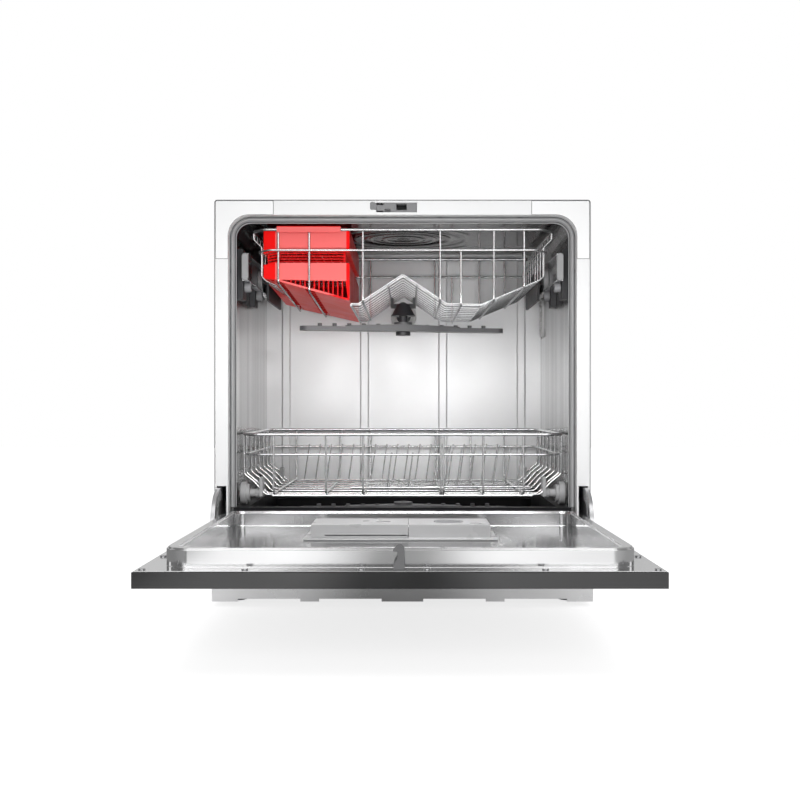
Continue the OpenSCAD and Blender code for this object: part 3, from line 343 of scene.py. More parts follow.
# ---------------------------------------------------------------------------
# Front frame: pressed white steel round the opening, with a bright plate in
# each upper corner, clipped flush into the frame.
# the rounded edges along the frame's seams are painted dark: painted shade in the seams
FRAME_SEAM_SHADE = (0.0016, (-0.97, -0.1))
BRIGHT_PAINT = paint_finish("bright_corner_paint", (0.89, 0.892, 0.895), 0.22)
shade_painted_edges(dressed("front_frame_white", "front_frame", WHITE_PAINT), *FRAME_SEAM_SHADE)
shade_painted_edges(dressed("corner_plates", "frame_corners", BRIGHT_PAINT, 0.0005), *FRAME_SEAM_SHADE)

# ---------------------------------------------------------------------------
# Rear panel, base pan and plinth: zinc-coated sheet at the back, a deep
# moulded pan that carries the works, and a steel plinth clipped in front.


def steel_finish(name, colour, rough, grain=(1, 1, 1), depth=0.00002, wander=0.06, metal=1.0):
    """Rolled or brushed steel: fine scratches along the grain, and smudges in its gloss."""
    mat, tree, shader = new_finish(name)
    slow = spread_noise(tree, 9, detail=4)
    tint(tree, shader, slow, tuple(c * 0.95 for c in colour), colour)
    tree.links.new(between(tree, slow, rough - wander, rough + wander), shader.inputs["Roughness"])
    relief(tree, shader, spread_noise(tree, 420, grain, detail=2), depth, 0.4)
    shader.inputs["Metallic"].default_value = metal
    return mat


def plastic_finish(name, colour, rough, grain=700, depth=0.00003, gloss=0.5):
    """Moulded plastic: fine spark-eroded grain and slightly uneven gloss."""
    mat, tree, shader = new_finish(name)
    slow = spread_noise(tree, 14)
    tint(tree, shader, slow, tuple(c * 0.93 for c in colour), colour)
    tree.links.new(between(tree, slow, rough - 0.05, rough + 0.06), shader.inputs["Roughness"])
    relief(tree, shader, spread_noise(tree, grain, detail=2), depth, 0.5)
    shader.inputs["Specular IOR Level"].default_value = gloss
    return mat


ZINC = steel_finish("zinc_sheet", (0.66, 0.67, 0.68), 0.42, wander=0.1)
PLINTH_STEEL = steel_finish("plinth_steel", (0.92, 0.92, 0.925), 0.30, grain=(0.02, 1, 1))
DARK_PLASTIC = plastic_finish("dark_plastic", (0.035, 0.035, 0.038), 0.42)
GREY_PLASTIC = plastic_finish("grey_plastic", (0.30, 0.30, 0.31), 0.45)
WHITE_PLASTIC = plastic_finish("white_plastic", (0.80, 0.80, 0.79), 0.40)
dressed("rear_sheet", "back_panel", ZINC, 0.0003)
dressed("base_tray", "base_pan", DARK_PLASTIC, 0.0008)
dressed("plinth_front", "plinth", PLINTH_STEEL, 0.0004)
dressed("levelling_feet", "feet", GREY_PLASTIC)

# ---------------------------------------------------------------------------
# Tub: a stainless wrap for the sides and ceiling, a ribbed stainless rear
# wall, and a dark moulded floor with the sill at its front.
TUB_TOP, RINGS_Y, RINGS_HALF = 0.562, 0.2, 0.105


def within_box(tree, centre, half):
    """1 inside a box on the piece's own coordinates and 0 outside, with a soft edge."""
    share = own_place(tree)
    for operation, operand in (("SUBTRACT", centre), ("ABSOLUTE", None), ("DIVIDE", half)):
        step = tree.nodes.new("ShaderNodeVectorMath")
        step.operation = operation
        tree.links.new(share, step.inputs[0])
        if operand:
            step.inputs[1].default_value = operand
        share = step.outputs[0]
    x, y, z = parts_of(tree, share)
    farthest = calculated(tree, "MAXIMUM", calculated(tree, "MAXIMUM", x, y), z)
    return spread(tree, farthest, 1.03, 0.97)


def tub_finish():
    """Polished sheet: dark and light streaks painted up the sides as painted reflections, painted shade
    darkening the top, and rings pressed into the ceiling that also brighten and darken the colour as painted
    highlights and shade.
    """
    mat, tree, shader = new_finish("tub_steel")
    streak = spread_noise(tree, 34, (0.25, 1, 0.02), detail=5)
    # painted reflections: dark and light streaks up the sides, in the colour
    grey = ramp(tree, streak, [(0.36, 0.10), (0.62, 0.44)])
    # painted shade: the colour darkens towards the top of the tub
    top = spread(tree, parts_of(tree, own_place(tree))["Z"], 0.42, TUB_TOP, 1.0, 0.26)
    flat = tree.nodes.new("ShaderNodeMapping")
    flat.inputs["Location"].default_value = (0, -RINGS_Y, 0)
    flat.inputs["Scale"].default_value = (1, 1, 0)
    radius = tree.nodes.new("ShaderNodeVectorMath")
    radius.operation = "LENGTH"
    tree.links.new(own_place(tree), flat.inputs["Vector"])
    tree.links.new(flat.outputs[0], radius.inputs[0])
    wave = calculated(tree, "COSINE", calculated(tree, "MULTIPLY", radius.outputs["Value"], 230.0))
    disc = within_box(tree, (0, RINGS_Y, TUB_TOP), (RINGS_HALF, RINGS_HALF, 0.004))
    ring_bumps_and_painted_glints = calculated(tree, "MULTIPLY", wave, disc)
    colour = tree.nodes.new("ShaderNodeVectorMath")
    colour.operation = "SCALE"
    tree.links.new(grey, colour.inputs[0])
    # the rings brighten and darken the colour as painted highlights and shade; their bumps are real relief
    tree.links.new(calculated(tree, "MULTIPLY", top, spread(tree, ring_bumps_and_painted_glints, -0.6, 0.6, 0.15, 1.9)),
                   colour.inputs["Scale"])
    tree.links.new(colour.outputs[0], shader.inputs["Base Color"])
    tree.links.new(between(tree, streak, 0.10, 0.22), shader.inputs["Roughness"])
    relief(tree, shader, ring_bumps_and_painted_glints, 0.0015, 0.8)
    shader.inputs["Metallic"].default_value = 1.0
    return mat


WALL_STEEL = steel_finish("rear_wall_steel", (0.90, 0.90, 0.905), 0.42, grain=(0.03, 1, 1), metal=0.30)
TRAY_PLASTIC = plastic_finish("tray_plastic", (0.012, 0.012, 0.013), 0.42, gloss=0.08)
dressed("tub_sides", "tub_wrap", tub_finish(), 0.0003)
dressed("tub_rear", "tub_back", WALL_STEEL, 0.0010)
dressed("tub_tray", "tub_floor", TRAY_PLASTIC, 0.0010)

# ---------------------------------------------------------------------------
# Door seal: a grey rubber profile pushed on round the opening, with a soft
# bulb against the door, and small clips that hold its flange. The profile
# gives how far in from the opening's edge each point lies, and its depth.
MM = 0.001
OPENING_HALF, OPENING_TOP, OPENING_CORNER, SEAL_FOOT = 255, 568, 31, 139.8
CORNER_STEPS = 12
SEAL_RUBBER = plastic_finish("seal_rubber", (0.27, 0.27, 0.275), 0.55, grain=500)
# painted shade and painted highlight: darker and paler copies of the seal rubber
GROOVE_PAINTED_SHADE = plastic_finish("seal_groove_painted_shade", (0.03, 0.03, 0.031), 0.7, grain=500)
BULB_PAINTED_HIGHLIGHT = plastic_finish("seal_bulb_painted_highlight", (0.42, 0.42, 0.425), 0.45, grain=500)
seal_profile = [(0.45, 22), (0.45, 18.4), (1.1, 18.4), (1.3, 16.3), (2.1, 15.9), (3.3, 16.1), (3.6, 15.1),
                (4.3, 14.65), (5.1, 14.7), (5.6, 15.3), (5.8, 16.4), (6.8, 16.2), (7.5, 16.6), (7.6, 19.2),
                (8.5, 19.2), (8.7, 17.2), (9.5, 17.2), (9.5, 22)]
SHADED_GROOVE_ROWS, LIT_BULB_ROWS = (0, 1, 12, 13), (6, 7, 8, 15, 16)


def loft(form, loops, ring=False, tube=False):
    """A skin over lines of equal length: ring closes each line, tube joins the last line to the first."""
    lines = [[form.verts.new([c * MM for c in p]) for p in line] for line in loops]
    for a, b in zip(lines, lines[1:] + lines[:1] if tube else lines[1:]):
        for i in range(len(a) if ring else len(a) - 1):
            j = (i + 1) % len(a)
            form.faces.new((a[i], a[j], b[j], b[i]))
    if tube and not ring:
        form.faces.new([line[0] for line in lines])
        form.faces.new([line[-1] for line in lines])
    if ring and not tube:
        form.faces.new(lines[0])
        form.faces.new(lines[-1])


def finished_form(name, form):
    """The form as a mesh whose faces all point outwards."""
    bmesh.ops.recalc_face_normals(form, faces=form.faces)
    mesh = bpy.data.meshes.new(name)
    form.to_mesh(mesh)
    form.free()
    return mesh


def arch_line(inset):
    """The opening's edge, moved inwards, from the left foot over the top to the right foot."""
    half, top, radius = OPENING_HALF - inset, OPENING_TOP - inset, OPENING_CORNER - inset
    line = [(-half, SEAL_FOOT)]
    for side, start in ((-1, 180), (1, 90)):
        for k in range(CORNER_STEPS + 1):
            angle = math.radians(start - 90 / CORNER_STEPS * k)
            x = side * (half - radius) + radius * math.cos(angle)
            line.append((x, top - radius + radius * math.sin(angle)))
    return line + [(half, SEAL_FOOT)]


form = bmesh.new()
loft(form, [[(x, y, z) for x, z in arch_line(inset)] for inset, y in seal_profile], tube=True)
seal = made("seal_ring", finished_form("seal_ring", form))
smooth_by_angle(seal.data, 38)
fitted(seal, SEAL_RUBBER, "door_gasket")
# the grooves between its lips are painted dark as painted shade, and its bulb is painted paler as a painted
# highlight
seal.data.materials.append(GROOVE_PAINTED_SHADE)
seal.data.materials.append(BULB_PAINTED_HIGHLIGHT)
strip = len(arch_line(0)) - 1
for face in seal.data.polygons[:strip * (len(seal_profile) - 1)]:
    across = face.index // strip
    face.material_index = 1 if across in SHADED_GROOVE_ROWS else 2 if across in LIT_BULB_ROWS else 0

form = bmesh.new()
clip_spots = [(x, 566.1, 5, 1.25) for x in (-171, -58.4, 56, 172.6)]
clip_spots += [(side * 253.1, z, 1.25, 4.5) for side in (-1, 1) for z in (487, 372, 257)]
for x, z, half_x, half_z in clip_spots:
    turns = [k * math.pi / 12 for k in range(24)]
    lens = [(x + half_x * math.cos(turn), z + half_z * math.sin(turn)) for turn in turns]
    loft(form, [[(u, y, v) for u, v in lens] for y in (17.5, 16.1)], ring=True)
clips = made("seal_clips", finished_form("seal_clips", form))
smooth_by_angle(clips.data)
fitted(clips, DARK_PLASTIC, body="cabinet")

# ---------------------------------------------------------------------------
# Door lock: a grey moulded case in the head rail, with the hole that the
# hook enters and a tongue at its left end.
LOCK_PLASTIC = plastic_finish("lock_plastic", (0.22, 0.22, 0.225), 0.38)
dressed("lock_case", "latch_lock", LOCK_PLASTIC, 0.0005)
form = bmesh.new()
tongue_outline = [(-47.5, 577), (-46, 575.2), (-38.2, 575.2), (-38.2, 585), (-44.5, 587), (-47.5, 585.5)]
loft(form, [[(x, y, z) for x, z in tongue_outline] for y in (-0.7, -0.05)], ring=True)
fitted(rounded("lock_tongue", finished_form("lock_tongue", form), 0.0002), LOCK_PLASTIC,
       body="cabinet")

# ---------------------------------------------------------------------------
# Door hinges: stamped plated-steel brackets and straps on two pins, with a
# pull spring each inside the base.
PLATED = steel_finish("plated_steel", (0.62, 0.62, 0.63), 0.30, grain=(1, 1, 0.05))
for name, node in (("hinge_plates", "hinge_brackets"), ("hinge_arms", "hinge_straps"),
                   ("hinge_rivets", "hinge_pins"), ("counter_springs", "door_springs")):
    dressed(name, node, PLATED, 0.0005)

# ---------------------------------------------------------------------------
# Works below the tub: sump, wash and drain pumps, heater, inlet valve, drain
# spigot and the gland where the mains lead enters.
HEATER_STEEL = steel_finish("heater_steel", (0.70, 0.70, 0.70), 0.28)
for name, node in (("sump_bowl", "sump"), ("wash_motor", "wash_pump"), ("drain_motor", "drain_pump")):
    dressed(name, node, DARK_PLASTIC)
dressed("heater_tube", "heater", HEATER_STEEL)
dressed("valve_block", "inlet_valve", WHITE_PLASTIC)
dressed("drain_spigot", "drain_outlet", DARK_PLASTIC)
dressed("lead_gland", "cord_gland", DARK_PLASTIC)

# ---------------------------------------------------------------------------
# Filter and salt container: a steel plate round the sump, a lift-out filter
# cup, and the moulded salt container with its screw cap.
PLATE_STEEL = steel_finish("filter_steel", (0.62, 0.62, 0.63), 0.30)
dressed("filter_disc", "filter_plate", PLATE_STEEL, 0.0002)
dressed("filter_beaker", "filter_cup", WHITE_PLASTIC, 0.0005)
dressed("salt_vessel", "salt_container", WHITE_PLASTIC)
dressed("salt_lid_shape", "salt_cap", GREY_PLASTIC, 0.0008)

# ---------------------------------------------------------------------------
# Water paths: the flat water box between tub and side, the riser at the
# rear, and the ring that the upper arm's pipe docks into.
for name, node in (("side_water_box", "water_box"), ("rear_riser", "rear_duct"), ("dock_ring", "docking_ring")):
    dressed(name, node, WHITE_PLASTIC, 0.0008)

# ---------------------------------------------------------------------------
# Upper rails: rolled steel channels that slide on rollers fixed to the tub,
# with a light grey cap on each front end.
RAIL_STEEL = steel_finish("rail_steel", (0.70, 0.70, 0.71), 0.26, grain=(1, 0.03, 1))
CAP_PLASTIC = plastic_finish("cap_plastic", (0.30, 0.30, 0.305), 0.42)
dressed("rail_channels", "upper_rails", RAIL_STEEL, 0.0004)
dressed("rail_end_caps", "rail_caps", CAP_PLASTIC, 0.0012, 3)
dressed("roller_brackets", "rail_guides", DARK_PLASTIC)
dressed("rail_rollers_front", "guide_rollers_front", GREY_PLASTIC)
dressed("rail_rollers_rear", "guide_rollers_rear", GREY_PLASTIC)

# ---------------------------------------------------------------------------
# Upper rack: plated round wires, bent and spot-welded, under a clear nylon
# coat. The floor wires run up to a ridge in the middle and down again.


def wire_tree():
    """Follows each path with a round wire whose corners are bent to a radius."""
    tree = bpy.data.node_groups.new("bent_wires", "GeometryNodeTree")
    for name, kind in (("Paths", "Geometry"), ("Wire radius", "Float"), ("Bend radius", "Float"),
                       ("Sides", "Int"), ("Finish", "Material")):
        tree.interface.new_socket(name, in_out="INPUT", socket_type="NodeSocket" + kind)
    tree.interface.new_socket("Wires", in_out="OUTPUT", socket_type="NodeSocketGeometry")
    start = tree.nodes.new("NodeGroupInput").outputs
    bend = tree.nodes.new("GeometryNodeFilletCurve")
    bend.mode = "POLY"
    bend.inputs["Count"].default_value = 4
    bend.inputs["Limit Radius"].default_value = True
    ring = tree.nodes.new("GeometryNodeCurvePrimitiveCircle")
    sweep = tree.nodes.new("GeometryNodeCurveToMesh")
    sweep.inputs["Fill Caps"].default_value = True
    real = tree.nodes.new("GeometryNodeRealizeInstances")
    coat = tree.nodes.new("GeometryNodeSetMaterial")
    end = tree.nodes.new("NodeGroupOutput")
    for source, socket in (
            (start["Paths"], bend.inputs["Curve"]), (start["Bend radius"], bend.inputs["Radius"]),
            (start["Sides"], ring.inputs["Resolution"]), (start["Wire radius"], ring.inputs["Radius"]),
            (bend.outputs["Curve"], sweep.inputs["Curve"]),
            (ring.outputs["Curve"], sweep.inputs["Profile Curve"]),
            (sweep.outputs["Mesh"], real.inputs["Geometry"]),
            (real.outputs["Geometry"], coat.inputs["Geometry"]),
            (start["Finish"], coat.inputs["Material"]), (coat.outputs["Geometry"], end.inputs["Wires"])):
        tree.links.new(source, socket)
    return tree


BENT_WIRES = wire_tree()


def path_curves(name, paths):
    """The paths, in millimetres, as poly splines: a path that ends where it starts is closed."""
    curve = bpy.data.curves.new(name, "CURVE")
    curve.dimensions = "3D"
    for points in paths:
        closed = points[0] == points[-1]
        knots = points[:-1] if closed else points
        spline = curve.splines.new("POLY")
        spline.points.add(len(knots) - 1)
        for knot, p in zip(spline.points, knots):
            knot.co = (p[0] * MM, p[1] * MM, p[2] * MM, 1)
        spline.use_cyclic_u = closed
    return made(name, curve)


def wires(name, paths, diameter, bend=5.0, sides=12):
    """Round wires along the paths, as one plain mesh."""
    piece = path_curves(name, paths)
    grow = piece.modifiers.new("wires", "NODES")
    grow.node_group = BENT_WIRES
    values = {"Wire radius": diameter / 2 * MM, "Bend radius": bend * MM, "Sides": sides, "Finish": WIRE_COAT}
    for item in BENT_WIRES.interface.items_tree:
        if item.name in values:
            grow[item.identifier] = values[item.name]
    return settled(piece)


def joined(name, pieces):
    """Several meshes of wires as one welded piece."""
    form = bmesh.new()
    for piece in pieces:
        form.from_mesh(piece.data)
        bpy.data.objects.remove(piece)
    mesh = bpy.data.meshes.new(name)
    form.to_mesh(mesh)
    form.free()
    smooth_by_angle(mesh, 50)
    return made(name, mesh)


def wire_finish():
    """Bright coated wire, painted dark where it faces down into the tub: painted shade on the undersides."""
    mat, tree, shader = new_finish("coated_wire")
    turned = tree.nodes.new("ShaderNodeNewGeometry").outputs["Normal"]
    # painted shade: the colour goes dark on the faces that look down
    up = spread(tree, parts_of(tree, turned)["Z"], -0.75, 0.15)
    tree.links.new(mixed(tree, up, (0.16, 0.16, 0.165), (0.88, 0.88, 0.885)), shader.inputs["Base Color"])
    tree.links.new(between(tree, spread_noise(tree, 40), 0.18, 0.26), shader.inputs["Roughness"])
    shader.inputs["Metallic"].default_value = 0.8
    return mat


# sizes in millimetres: a weld sinks one wire this far into the next
WIRE_COAT = wire_finish()
FRONT, BACK = 30.0, 370.0
RIM_WIRE, WIRE, FINE, SUNK = 4.6, 3.2, 2.2, 0.1
FIRST_ROW = 24
RIM = 551.0
FLOOR, RIDGE = RIM - 110, 44
UPPER_HALF, UPPER_FLOOR_HALF, SECOND_DROP = 225, 213, 31
RIM_UNDER = RIM - RIM_WIRE / 2 + SUNK
shoulder = [(UPPER_FLOOR_HALF, FLOOR + 43), (UPPER_FLOOR_HALF, RIM - 23), (UPPER_HALF, RIM - 11),
            (UPPER_HALF, RIM_UNDER)]
floor_section = [(-77.5, FLOOR), (-66, FLOOR), (0, FLOOR + RIDGE), (66, FLOOR), (118, FLOOR - 1),
                 (204, FLOOR + 35)]
right_section = floor_section + shoulder
left_section = [(-x, z) for x, z in reversed(shoulder)] + [(-206, FLOOR + 36), (-190, FLOOR + 29)]


def rim_path(half, z, corner, out=0.0):
    """A closed rim with slanted front corners, moved outwards at the front and back."""
    front, back = FRONT - out, BACK + out
    return [(-half, back, z), (-half, front + corner, z), (-half + 0.8 * corner, front, z),
            (half - 0.8 * corner, front, z), (half, front + corner, z), (half, back, z), (-half, back, z)]


def rows(count, diameter):
    """Places of the cross wires: clear of the front corners, and just inside the loops at the back."""
    step = (BACK - FRONT) / (count - 1)
    last = BACK - WIRE / 2 + SUNK - diameter / 2
    return [FRONT + FIRST_ROW] + [FRONT + i * step for i in range(1, count - 1)] + [last]


def floor_at(x):
    """Height of the floor's cross wires."""
    for a, b in zip(right_section, right_section[1:7]):
        if a[0] <= x <= b[0]:
            return a[1] + (b[1] - a[1]) * (x - a[0]) / (b[0] - a[0])


def run_z(x):
    """Height of a lengthwise wire that touches the cross wires from below."""
    slope = floor_at(x + 0.4) / 0.8 - floor_at(x - 0.4) / 0.8
    return floor_at(x) + SUNK - (WIRE + FINE) / 2 * math.hypot(1, slope)


def under_basket(x, at_back):
    """Height of the basket's floor at the front or the back, over the wires that carry it."""
    t = max(0, (x + 185) / 101)
    return FLOOR + 33.6 - 27.6 * t - at_back * (13 - 5 * t)


def loop_path(x, top, front_z, back_z):
    """A lengthwise wire that turns up to the rim at both ends."""
    return [(x, FRONT, top), (x, FRONT, front_z), (x, BACK, back_z), (x, BACK, top)]


fine_paths = []
for y in rows(11, FINE):
    fine_paths.append([(x, y, z) for x, z in right_section])
    fine_paths.append([(x, y, z) for x, z in left_section])
fine_paths.append([(x, FRONT + (FINE + WIRE) / 2 - SUNK, z) for x, z in floor_section])
for i in range(1, 10):
    fine_paths.append([(x, FRONT + (i + 0.5) * 34, z) for x, z in right_section[4:7]])
loop_paths = [loop_path(x, RIM_UNDER, run_z(x), run_z(x)) for x in (-59, 56, 136, 181)]
loop_paths.append(loop_path(87, RIM - SECOND_DROP, run_z(87), run_z(87)))
loop_paths += [loop_path(x, RIM_UNDER, under_basket(x, 0) - 3, under_basket(x, 1) - 3) for x in (-185, -139)]
loop_paths += [[(x, FRONT, run_z(x)), (x, BACK, run_z(x))] for x in (-77, -21, 21)]
fitted(joined("upper_wire_rack", [
    wires("upper_rim", [rim_path(UPPER_HALF, RIM, 24)], RIM_WIRE, bend=9, sides=14),
    wires("upper_second", [rim_path(216.25, RIM - SECOND_DROP, 22, WIRE - SUNK)], WIRE, bend=9),
    wires("upper_fine", fine_paths, FINE, bend=4, sides=10),
    wires("upper_loops", loop_paths, WIRE)]), WIRE_COAT, "upper_rack")

# ---------------------------------------------------------------------------
# Cutlery basket: red polypropylene, hung over the upper rack's front wire,
# with a tray above, a slotted tray below and a slanted floor. In millimetres.
WALL, FRONT_Y, BACK_Y = 2.2, 33.2, 363.5
LEFT_X, CHAMFER_X, RIGHT_X, CHAMFER_Y = -210.5, -190, -79.6, 58
TOP_Z, TRAY_Z, LOWER_TOP_Z, WINDOW_Z, POST_FOOT_Z = 554.2, 519, 502, 475, 446.5
basket_plan = [(LEFT_X, CHAMFER_Y), (CHAMFER_X, FRONT_Y), (-84, FRONT_Y), (RIGHT_X, 38.5), (RIGHT_X, BACK_Y),
               (LEFT_X, BACK_Y)]


def red_finish():
    """Glossy red with painted light: a paler painted highlight on the front panels, a painted glow on the
    slanted corners, and a greyer red painted on the faces that look down.
    """
    mat, tree, shader = new_finish("red_plastic")
    normal = parts_of(tree, tree.nodes.new("ShaderNodeNewGeometry").outputs["Normal"])
    # painted light: the faces that look down get a paler, greyer red
    below = mixed(tree, spread(tree, normal["Z"], -0.3, -0.7), (0.72, 0.006, 0.008), (0.75, 0.075, 0.065))
    highlight_panels = within_box(tree, (-0.145, 0.029, 0.515), (0.09, 0.0052, 0.06))
    # painted highlight: the front panels that face the light are painted pale
    painted_highlight_share = calculated(tree, "MULTIPLY", spread(tree, normal["Y"], -0.86, -0.99), highlight_panels)
    tree.links.new(mixed(tree, painted_highlight_share, below, (0.88, 0.158, 0.153)), shader.inputs["Base Color"])
    tree.links.new(between(tree, spread_noise(tree, 22), 0.34, 0.46), shader.inputs["Roughness"])
    relief(tree, shader, spread_noise(tree, 600, detail=2), 0.00002, 0.4)
    shader.inputs["Specular IOR Level"].default_value = 0.12
    # painted glow, seen only by the camera: the slanted corners glow red, and the faces that look down a little
    corner = calculated(tree, "MULTIPLY", spread(tree, normal["Y"], -0.35, -0.55, 0.0, 0.55),
                        spread(tree, normal["Y"], -0.95, -0.86))
    painted_glow = calculated(tree, "ADD", corner, spread(tree, normal["Z"], -0.3, -0.7, 0.0, 0.12))
    tree.links.new(calculated(tree, "MULTIPLY", painted_glow, camera_ray(tree)), shader.inputs["Emission Strength"])
    shader.inputs["Emission Color"].default_value = (1.0, 0.012, 0.010, 1)
    return mat


def under_red(x, y):
    """The slanted floor: down to the right, and down to the back beside the wires that carry it."""
    return under_basket(x, (y - FRONT) / (BACK - FRONT)) + max(0, -180 - x) * 0.26


def inset(plan, by):
    """A closed plan line moved inwards."""
    moved = []
    for i, p in enumerate(plan):
        a, b = Vector(plan[i - 1]), Vector(plan[(i + 1) % len(plan)])
        p = Vector(p)
        u, v = (p - a).normalized(), (b - p).normalized()
        n = Vector((-u.y, u.x)) + Vector((-v.y, v.x))
        moved.append(tuple(p + n * (by / (1 + u.dot(v)))))
    return moved


def ribbon(form, plan, thick, low, high):
    """A wall round a plan line, between two heights; the lower may be a rule of x and y."""
    def foot(line):
        return [(x, y, low(x, y) if callable(low) else low) for x, y in line]

    def head(line):
        return [(x, y, high) for x, y in line]

    inner = inset(plan, thick)
    loft(form, [foot(plan), head(plan), head(inner), foot(inner)], ring=True, tube=True)


def bar(form, a, b):
    """A straight bar between two corners."""
    corners = [(a[0], a[1]), (b[0], a[1]), (b[0], b[1]), (a[0], b[1])]
    loft(form, [[(x, y, z) for x, y in corners] for z in (a[2], b[2])], ring=True)


def floor_strip(x0, x1, y0, y1, thick=WALL):
    """A strip of the slanted floor."""
    corners = [(x0, y0), (x1, y0), (x1, y1), (x0, y1)]
    loft(form, [[(x, y, under_red(x, y) + h) for x, y in corners] for h in (0, thick)], ring=True)


def lower_wall_foot(x, y):
    """The lower wall ends above the window in front and runs down as a post at the right corner."""
    if x > -82.5:
        return POST_FOOT_Z - (y - FRONT) * 0.024
    return max(WINDOW_Z, under_red(x, y))


form = bmesh.new()
ribbon(form, basket_plan, WALL, TRAY_Z, TOP_Z)
ribbon(form, basket_plan, WALL, lower_wall_foot, LOWER_TOP_Z)
# bars of the open band between the upper and the lower tray, with posts
for i in range(4):
    ribbon(form, inset(basket_plan, 6), WALL, 503.6 + 4.2 * i, 505.2 + 4.2 * i)
band_posts = [(-186, 40.5), (-87, 40.5)] + [(-203, y) for y in (62, 160, 260, 354)]
band_posts += [(-87, y) for y in (120, 200, 280, 354)]
for x, y in band_posts:
    bar(form, (x - 1.5, y - 1, 500), (x + 1.5, y + 1.5, 521))
# ledges of both trays, and the upper one's lattice
ribbon(form, inset(basket_plan, 1), 9, 519.2, 521.2)
ribbon(form, inset(basket_plan, 1), 8, 500, 501.8)
for i in range(10):
    bar(form, (-202 + 12.6 * i, 40, TRAY_Z), (-199.4 + 12.6 * i, 361, TRAY_Z + 2))
for i in range(14):
    bar(form, (-206, 60 + 22 * i, 519.2), (-82, 62.6 + 22 * i, 520.8))
# slats of the window in front, and the bar below them
for i in range(12):
    x = -168 + 7 * i
    bar(form, (x, 36.4, under_red(x + 1, 36) + 0.6), (x + 2, 46, WINDOW_Z + 1.5))
bar_places = (CHAMFER_X, -180, -150, -115, -79.8)
bar_outline = [(x, under_red(x, FRONT_Y)) for x in bar_places]
bar_outline += [(x, under_red(x, FRONT_Y) + 3) for x in reversed(bar_places)]
loft(form, [[(x, y, z) for x, z in bar_outline] for y in (FRONT_Y + 0.2, FRONT_Y + 3)], ring=True)
# the slanted floor, with a row of slots along each wire that carries it
SLOT_STEP = 24.5
slot_rows = ((-193, -177), (-147.5, -130.5))
for x0, x1, y0 in ((-210, -193, 58), (-177, -147.5, 35), (-130.5, -79.8, 35)):
    floor_strip(x0, x1, y0, BACK_Y)
for left, right in slot_rows:
    floor_strip(left - 0.2, left + 1.5, 38, BACK_Y)
    floor_strip(right - 1.5, right + 0.2, 38, BACK_Y)
    for i in range(14):
        floor_strip(left + 1.3, right - 1.3, 38 + SLOT_STEP * i, 41 + SLOT_STEP * i, 0.8)
# hook over the front wire
hook_outline = [(35.4, 555.6), (26.0, 555.6), (24.9, 554.6), (24.9, 546.6), (26.7, 546.6), (26.9, 553.6),
                (35.4, 553.6)]
loft(form, [[(x, y, z) for y, z in hook_outline] for x in (-187, -92)], ring=True)
fitted(rounded("red_basket", finished_form("red_basket", form), 0.0004, 2, 40), red_finish(),
       "cutlery_basket")

# ---------------------------------------------------------------------------
# Upper rack's carriers, wheels, feed pipe and spray arm: dark moulded parts
# clipped to the wires; the arm spins on the hub below the feed.
ARM_PLASTIC = plastic_finish("arm_plastic", (0.13, 0.13, 0.135), 0.34)
WHEEL_PLASTIC = plastic_finish("wheel_plastic", (0.42, 0.42, 0.425), 0.42)
dressed("rack_brackets", "rack_carriers", DARK_PLASTIC)
dressed("feed_pipe", "upper_feed", DARK_PLASTIC)
dressed("upper_front_rollers", "upper_wheels_front", WHEEL_PLASTIC)
dressed("upper_rear_rollers", "upper_wheels_rear", WHEEL_PLASTIC)
dressed("upper_arm_shell", "upper_spray_arm", ARM_PLASTIC, 0.0008)

# ---------------------------------------------------------------------------
# Lower rack: the same plated wire, with a row of plate tines at the back, a
# folding row in front of it, and wheels clipped to the side wires.
LOW_RIM, LOW_FLOOR, LOW_HALF = 246.0, 155.0, 240
LOW_RIM_UNDER = LOW_RIM - RIM_WIRE / 2 + SUNK
RUN_Z = LOW_FLOOR + WIRE - SUNK
ROD_Z = RUN_Z + WIRE - SUNK
TINE, SHORT_TINE, TINE_GAP = 62, 55, 19
right_side = [(207, LOW_FLOOR), (224, LOW_FLOOR + 19), (239, LOW_FLOOR + 31), (LOW_HALF, LOW_RIM_UNDER)]
hoop = [(-x, z) for x, z in reversed(right_side)] + right_side
hoop_paths = [[(x, y, z) for x, z in hoop] for y in rows(8, WIRE)]
hoop_paths.append([(-194, FRONT, LOW_FLOOR), (194, FRONT, LOW_FLOOR)])
hoop_paths += [loop_path(x, LOW_RIM_UNDER, RUN_Z, RUN_Z) for x in (-192, -114, -59, 57, 61, 120, 180)]


def tine_paths(at, y, z, height):
    """Tines that lean a little to the right."""
    return [[(x, y, z), (x + height * 0.14, y, z + height)] for x in at]


low_pitch = (BACK - FRONT) / 7
rear_y, short_y = FRONT + 5.25 * low_pitch, FRONT + 1.5 * low_pitch
rear_at = [-170 + TINE_GAP * i for i in range(18)]
hoop_paths.append([(rear_at[0] - 8, rear_y, ROD_Z), (rear_at[-1] + 8, rear_y, ROD_Z)])
hoop_paths.append([(-81, short_y, ROD_Z), (64, short_y, ROD_Z)])
fixed_tines = tine_paths(rear_at, rear_y, ROD_Z, TINE) + tine_paths((-25, 8), short_y, ROD_Z, SHORT_TINE)
fitted(joined("lower_wire_rack", [
    wires("lower_rim", [rim_path(LOW_HALF, LOW_RIM, 26)], RIM_WIRE, bend=9, sides=14),
    wires("lower_second", [rim_path(235.75, LOW_RIM - 30, 26, SUNK - WIRE)], WIRE, bend=9),
    wires("lower_hoops", hoop_paths, WIRE, bend=7),
    wires("lower_tines", fixed_tines, FINE, sides=10)]), WIRE_COAT, "lower_rack")
fold_y, fold_z = FRONT + 92, RUN_Z + WIRE + 0.3
fold_at = [46 + TINE_GAP * i for i in range(8)]
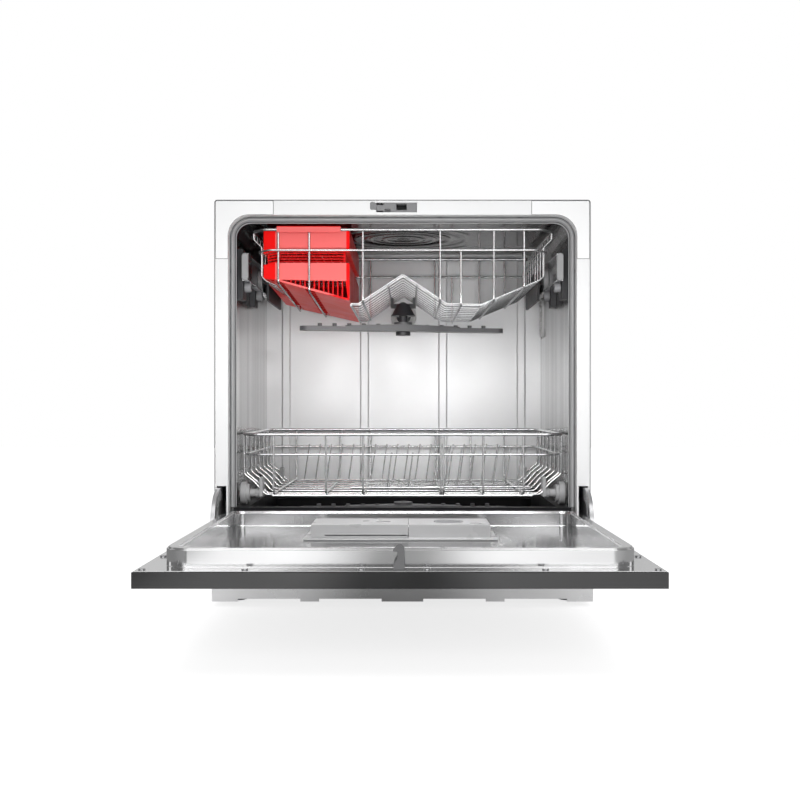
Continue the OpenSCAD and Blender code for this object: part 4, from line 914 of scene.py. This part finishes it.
fitted(joined("folding_tine_row", [
    wires("fold_rod", [[(38, fold_y, fold_z), (200, fold_y, fold_z)]], WIRE),
    wires("fold_tines", tine_paths(fold_at, fold_y, fold_z, TINE), FINE, sides=10)]),
    WIRE_COAT, "tine_row")
for name, node in (("wheel_holders", "wheel_clips"), ("lower_front_rollers", "lower_wheels_front"),
                   ("lower_rear_rollers", "lower_wheels_rear")):
    dressed(name, node, WHEEL_PLASTIC)
dressed("lower_arm_shell", "lower_spray_arm", ARM_PLASTIC, 0.0008)

# ---------------------------------------------------------------------------
# Door: a black glass-fronted slab with a pressed stainless inner sheet, its
# raised rim, the hook, and the countersunk screws round the edge.
BLACK_GLOSS = plastic_finish("black_gloss", (0.008, 0.008, 0.009), 0.14, grain=300, depth=0.000004, gloss=1.0)
BOARD = plastic_finish("board_green", (0.02, 0.16, 0.07), 0.4)


def door_finish():
    """Bright brushed sheet, painted darker in the recess between the rims: painted shade."""
    mat, tree, shader = new_finish("door_steel")
    recess_painted_shade = within_box(tree, (0, -0.254, 0.119), (0.236, 0.192, 0.004))
    tree.links.new(mixed(tree, recess_painted_shade, (0.84, 0.84, 0.845), (0.37, 0.37, 0.375)), shader.inputs["Base Color"])
    tree.links.new(between(tree, spread_noise(tree, 9, detail=4), 0.10, 0.17), shader.inputs["Roughness"])
    relief(tree, shader, spread_noise(tree, 420, (0.03, 1, 1), detail=2), 0.000012, 0.4)
    shader.inputs["Metallic"].default_value = 1.0
    return mat


dressed("door_slab", "door_outer", BLACK_GLOSS, 0.0008)
dressed("door_liner", "door_inner", door_finish(), 0.0012, 3)
dressed("door_hook", "latch_hook", LOCK_PLASTIC)
dressed("control_circuit", "control_board", BOARD, 0.0003)
dressed("power_key_cap", "power_button", GREY_PLASTIC, 0.0005)
dressed("start_key_cap", "start_button", GREY_PLASTIC, 0.0005)
dressed("rim_screws", "door_screws", PLATED, 0.0003)

# ---------------------------------------------------------------------------
# Dispenser: a grey moulded box in the door's inner sheet with a sliding
# detergent lid at the left and the round rinse-aid cap at the right.
DISPENSER = plastic_finish("dispenser_plastic", (0.52, 0.52, 0.525), 0.30)
dressed("dispenser_case", "dispenser_body", DISPENSER, 0.0008)
dressed("detergent_cover", "dispenser_lid", DISPENSER)
dressed("rinse_cap_shape", "rinse_cap", GREY_PLASTIC)
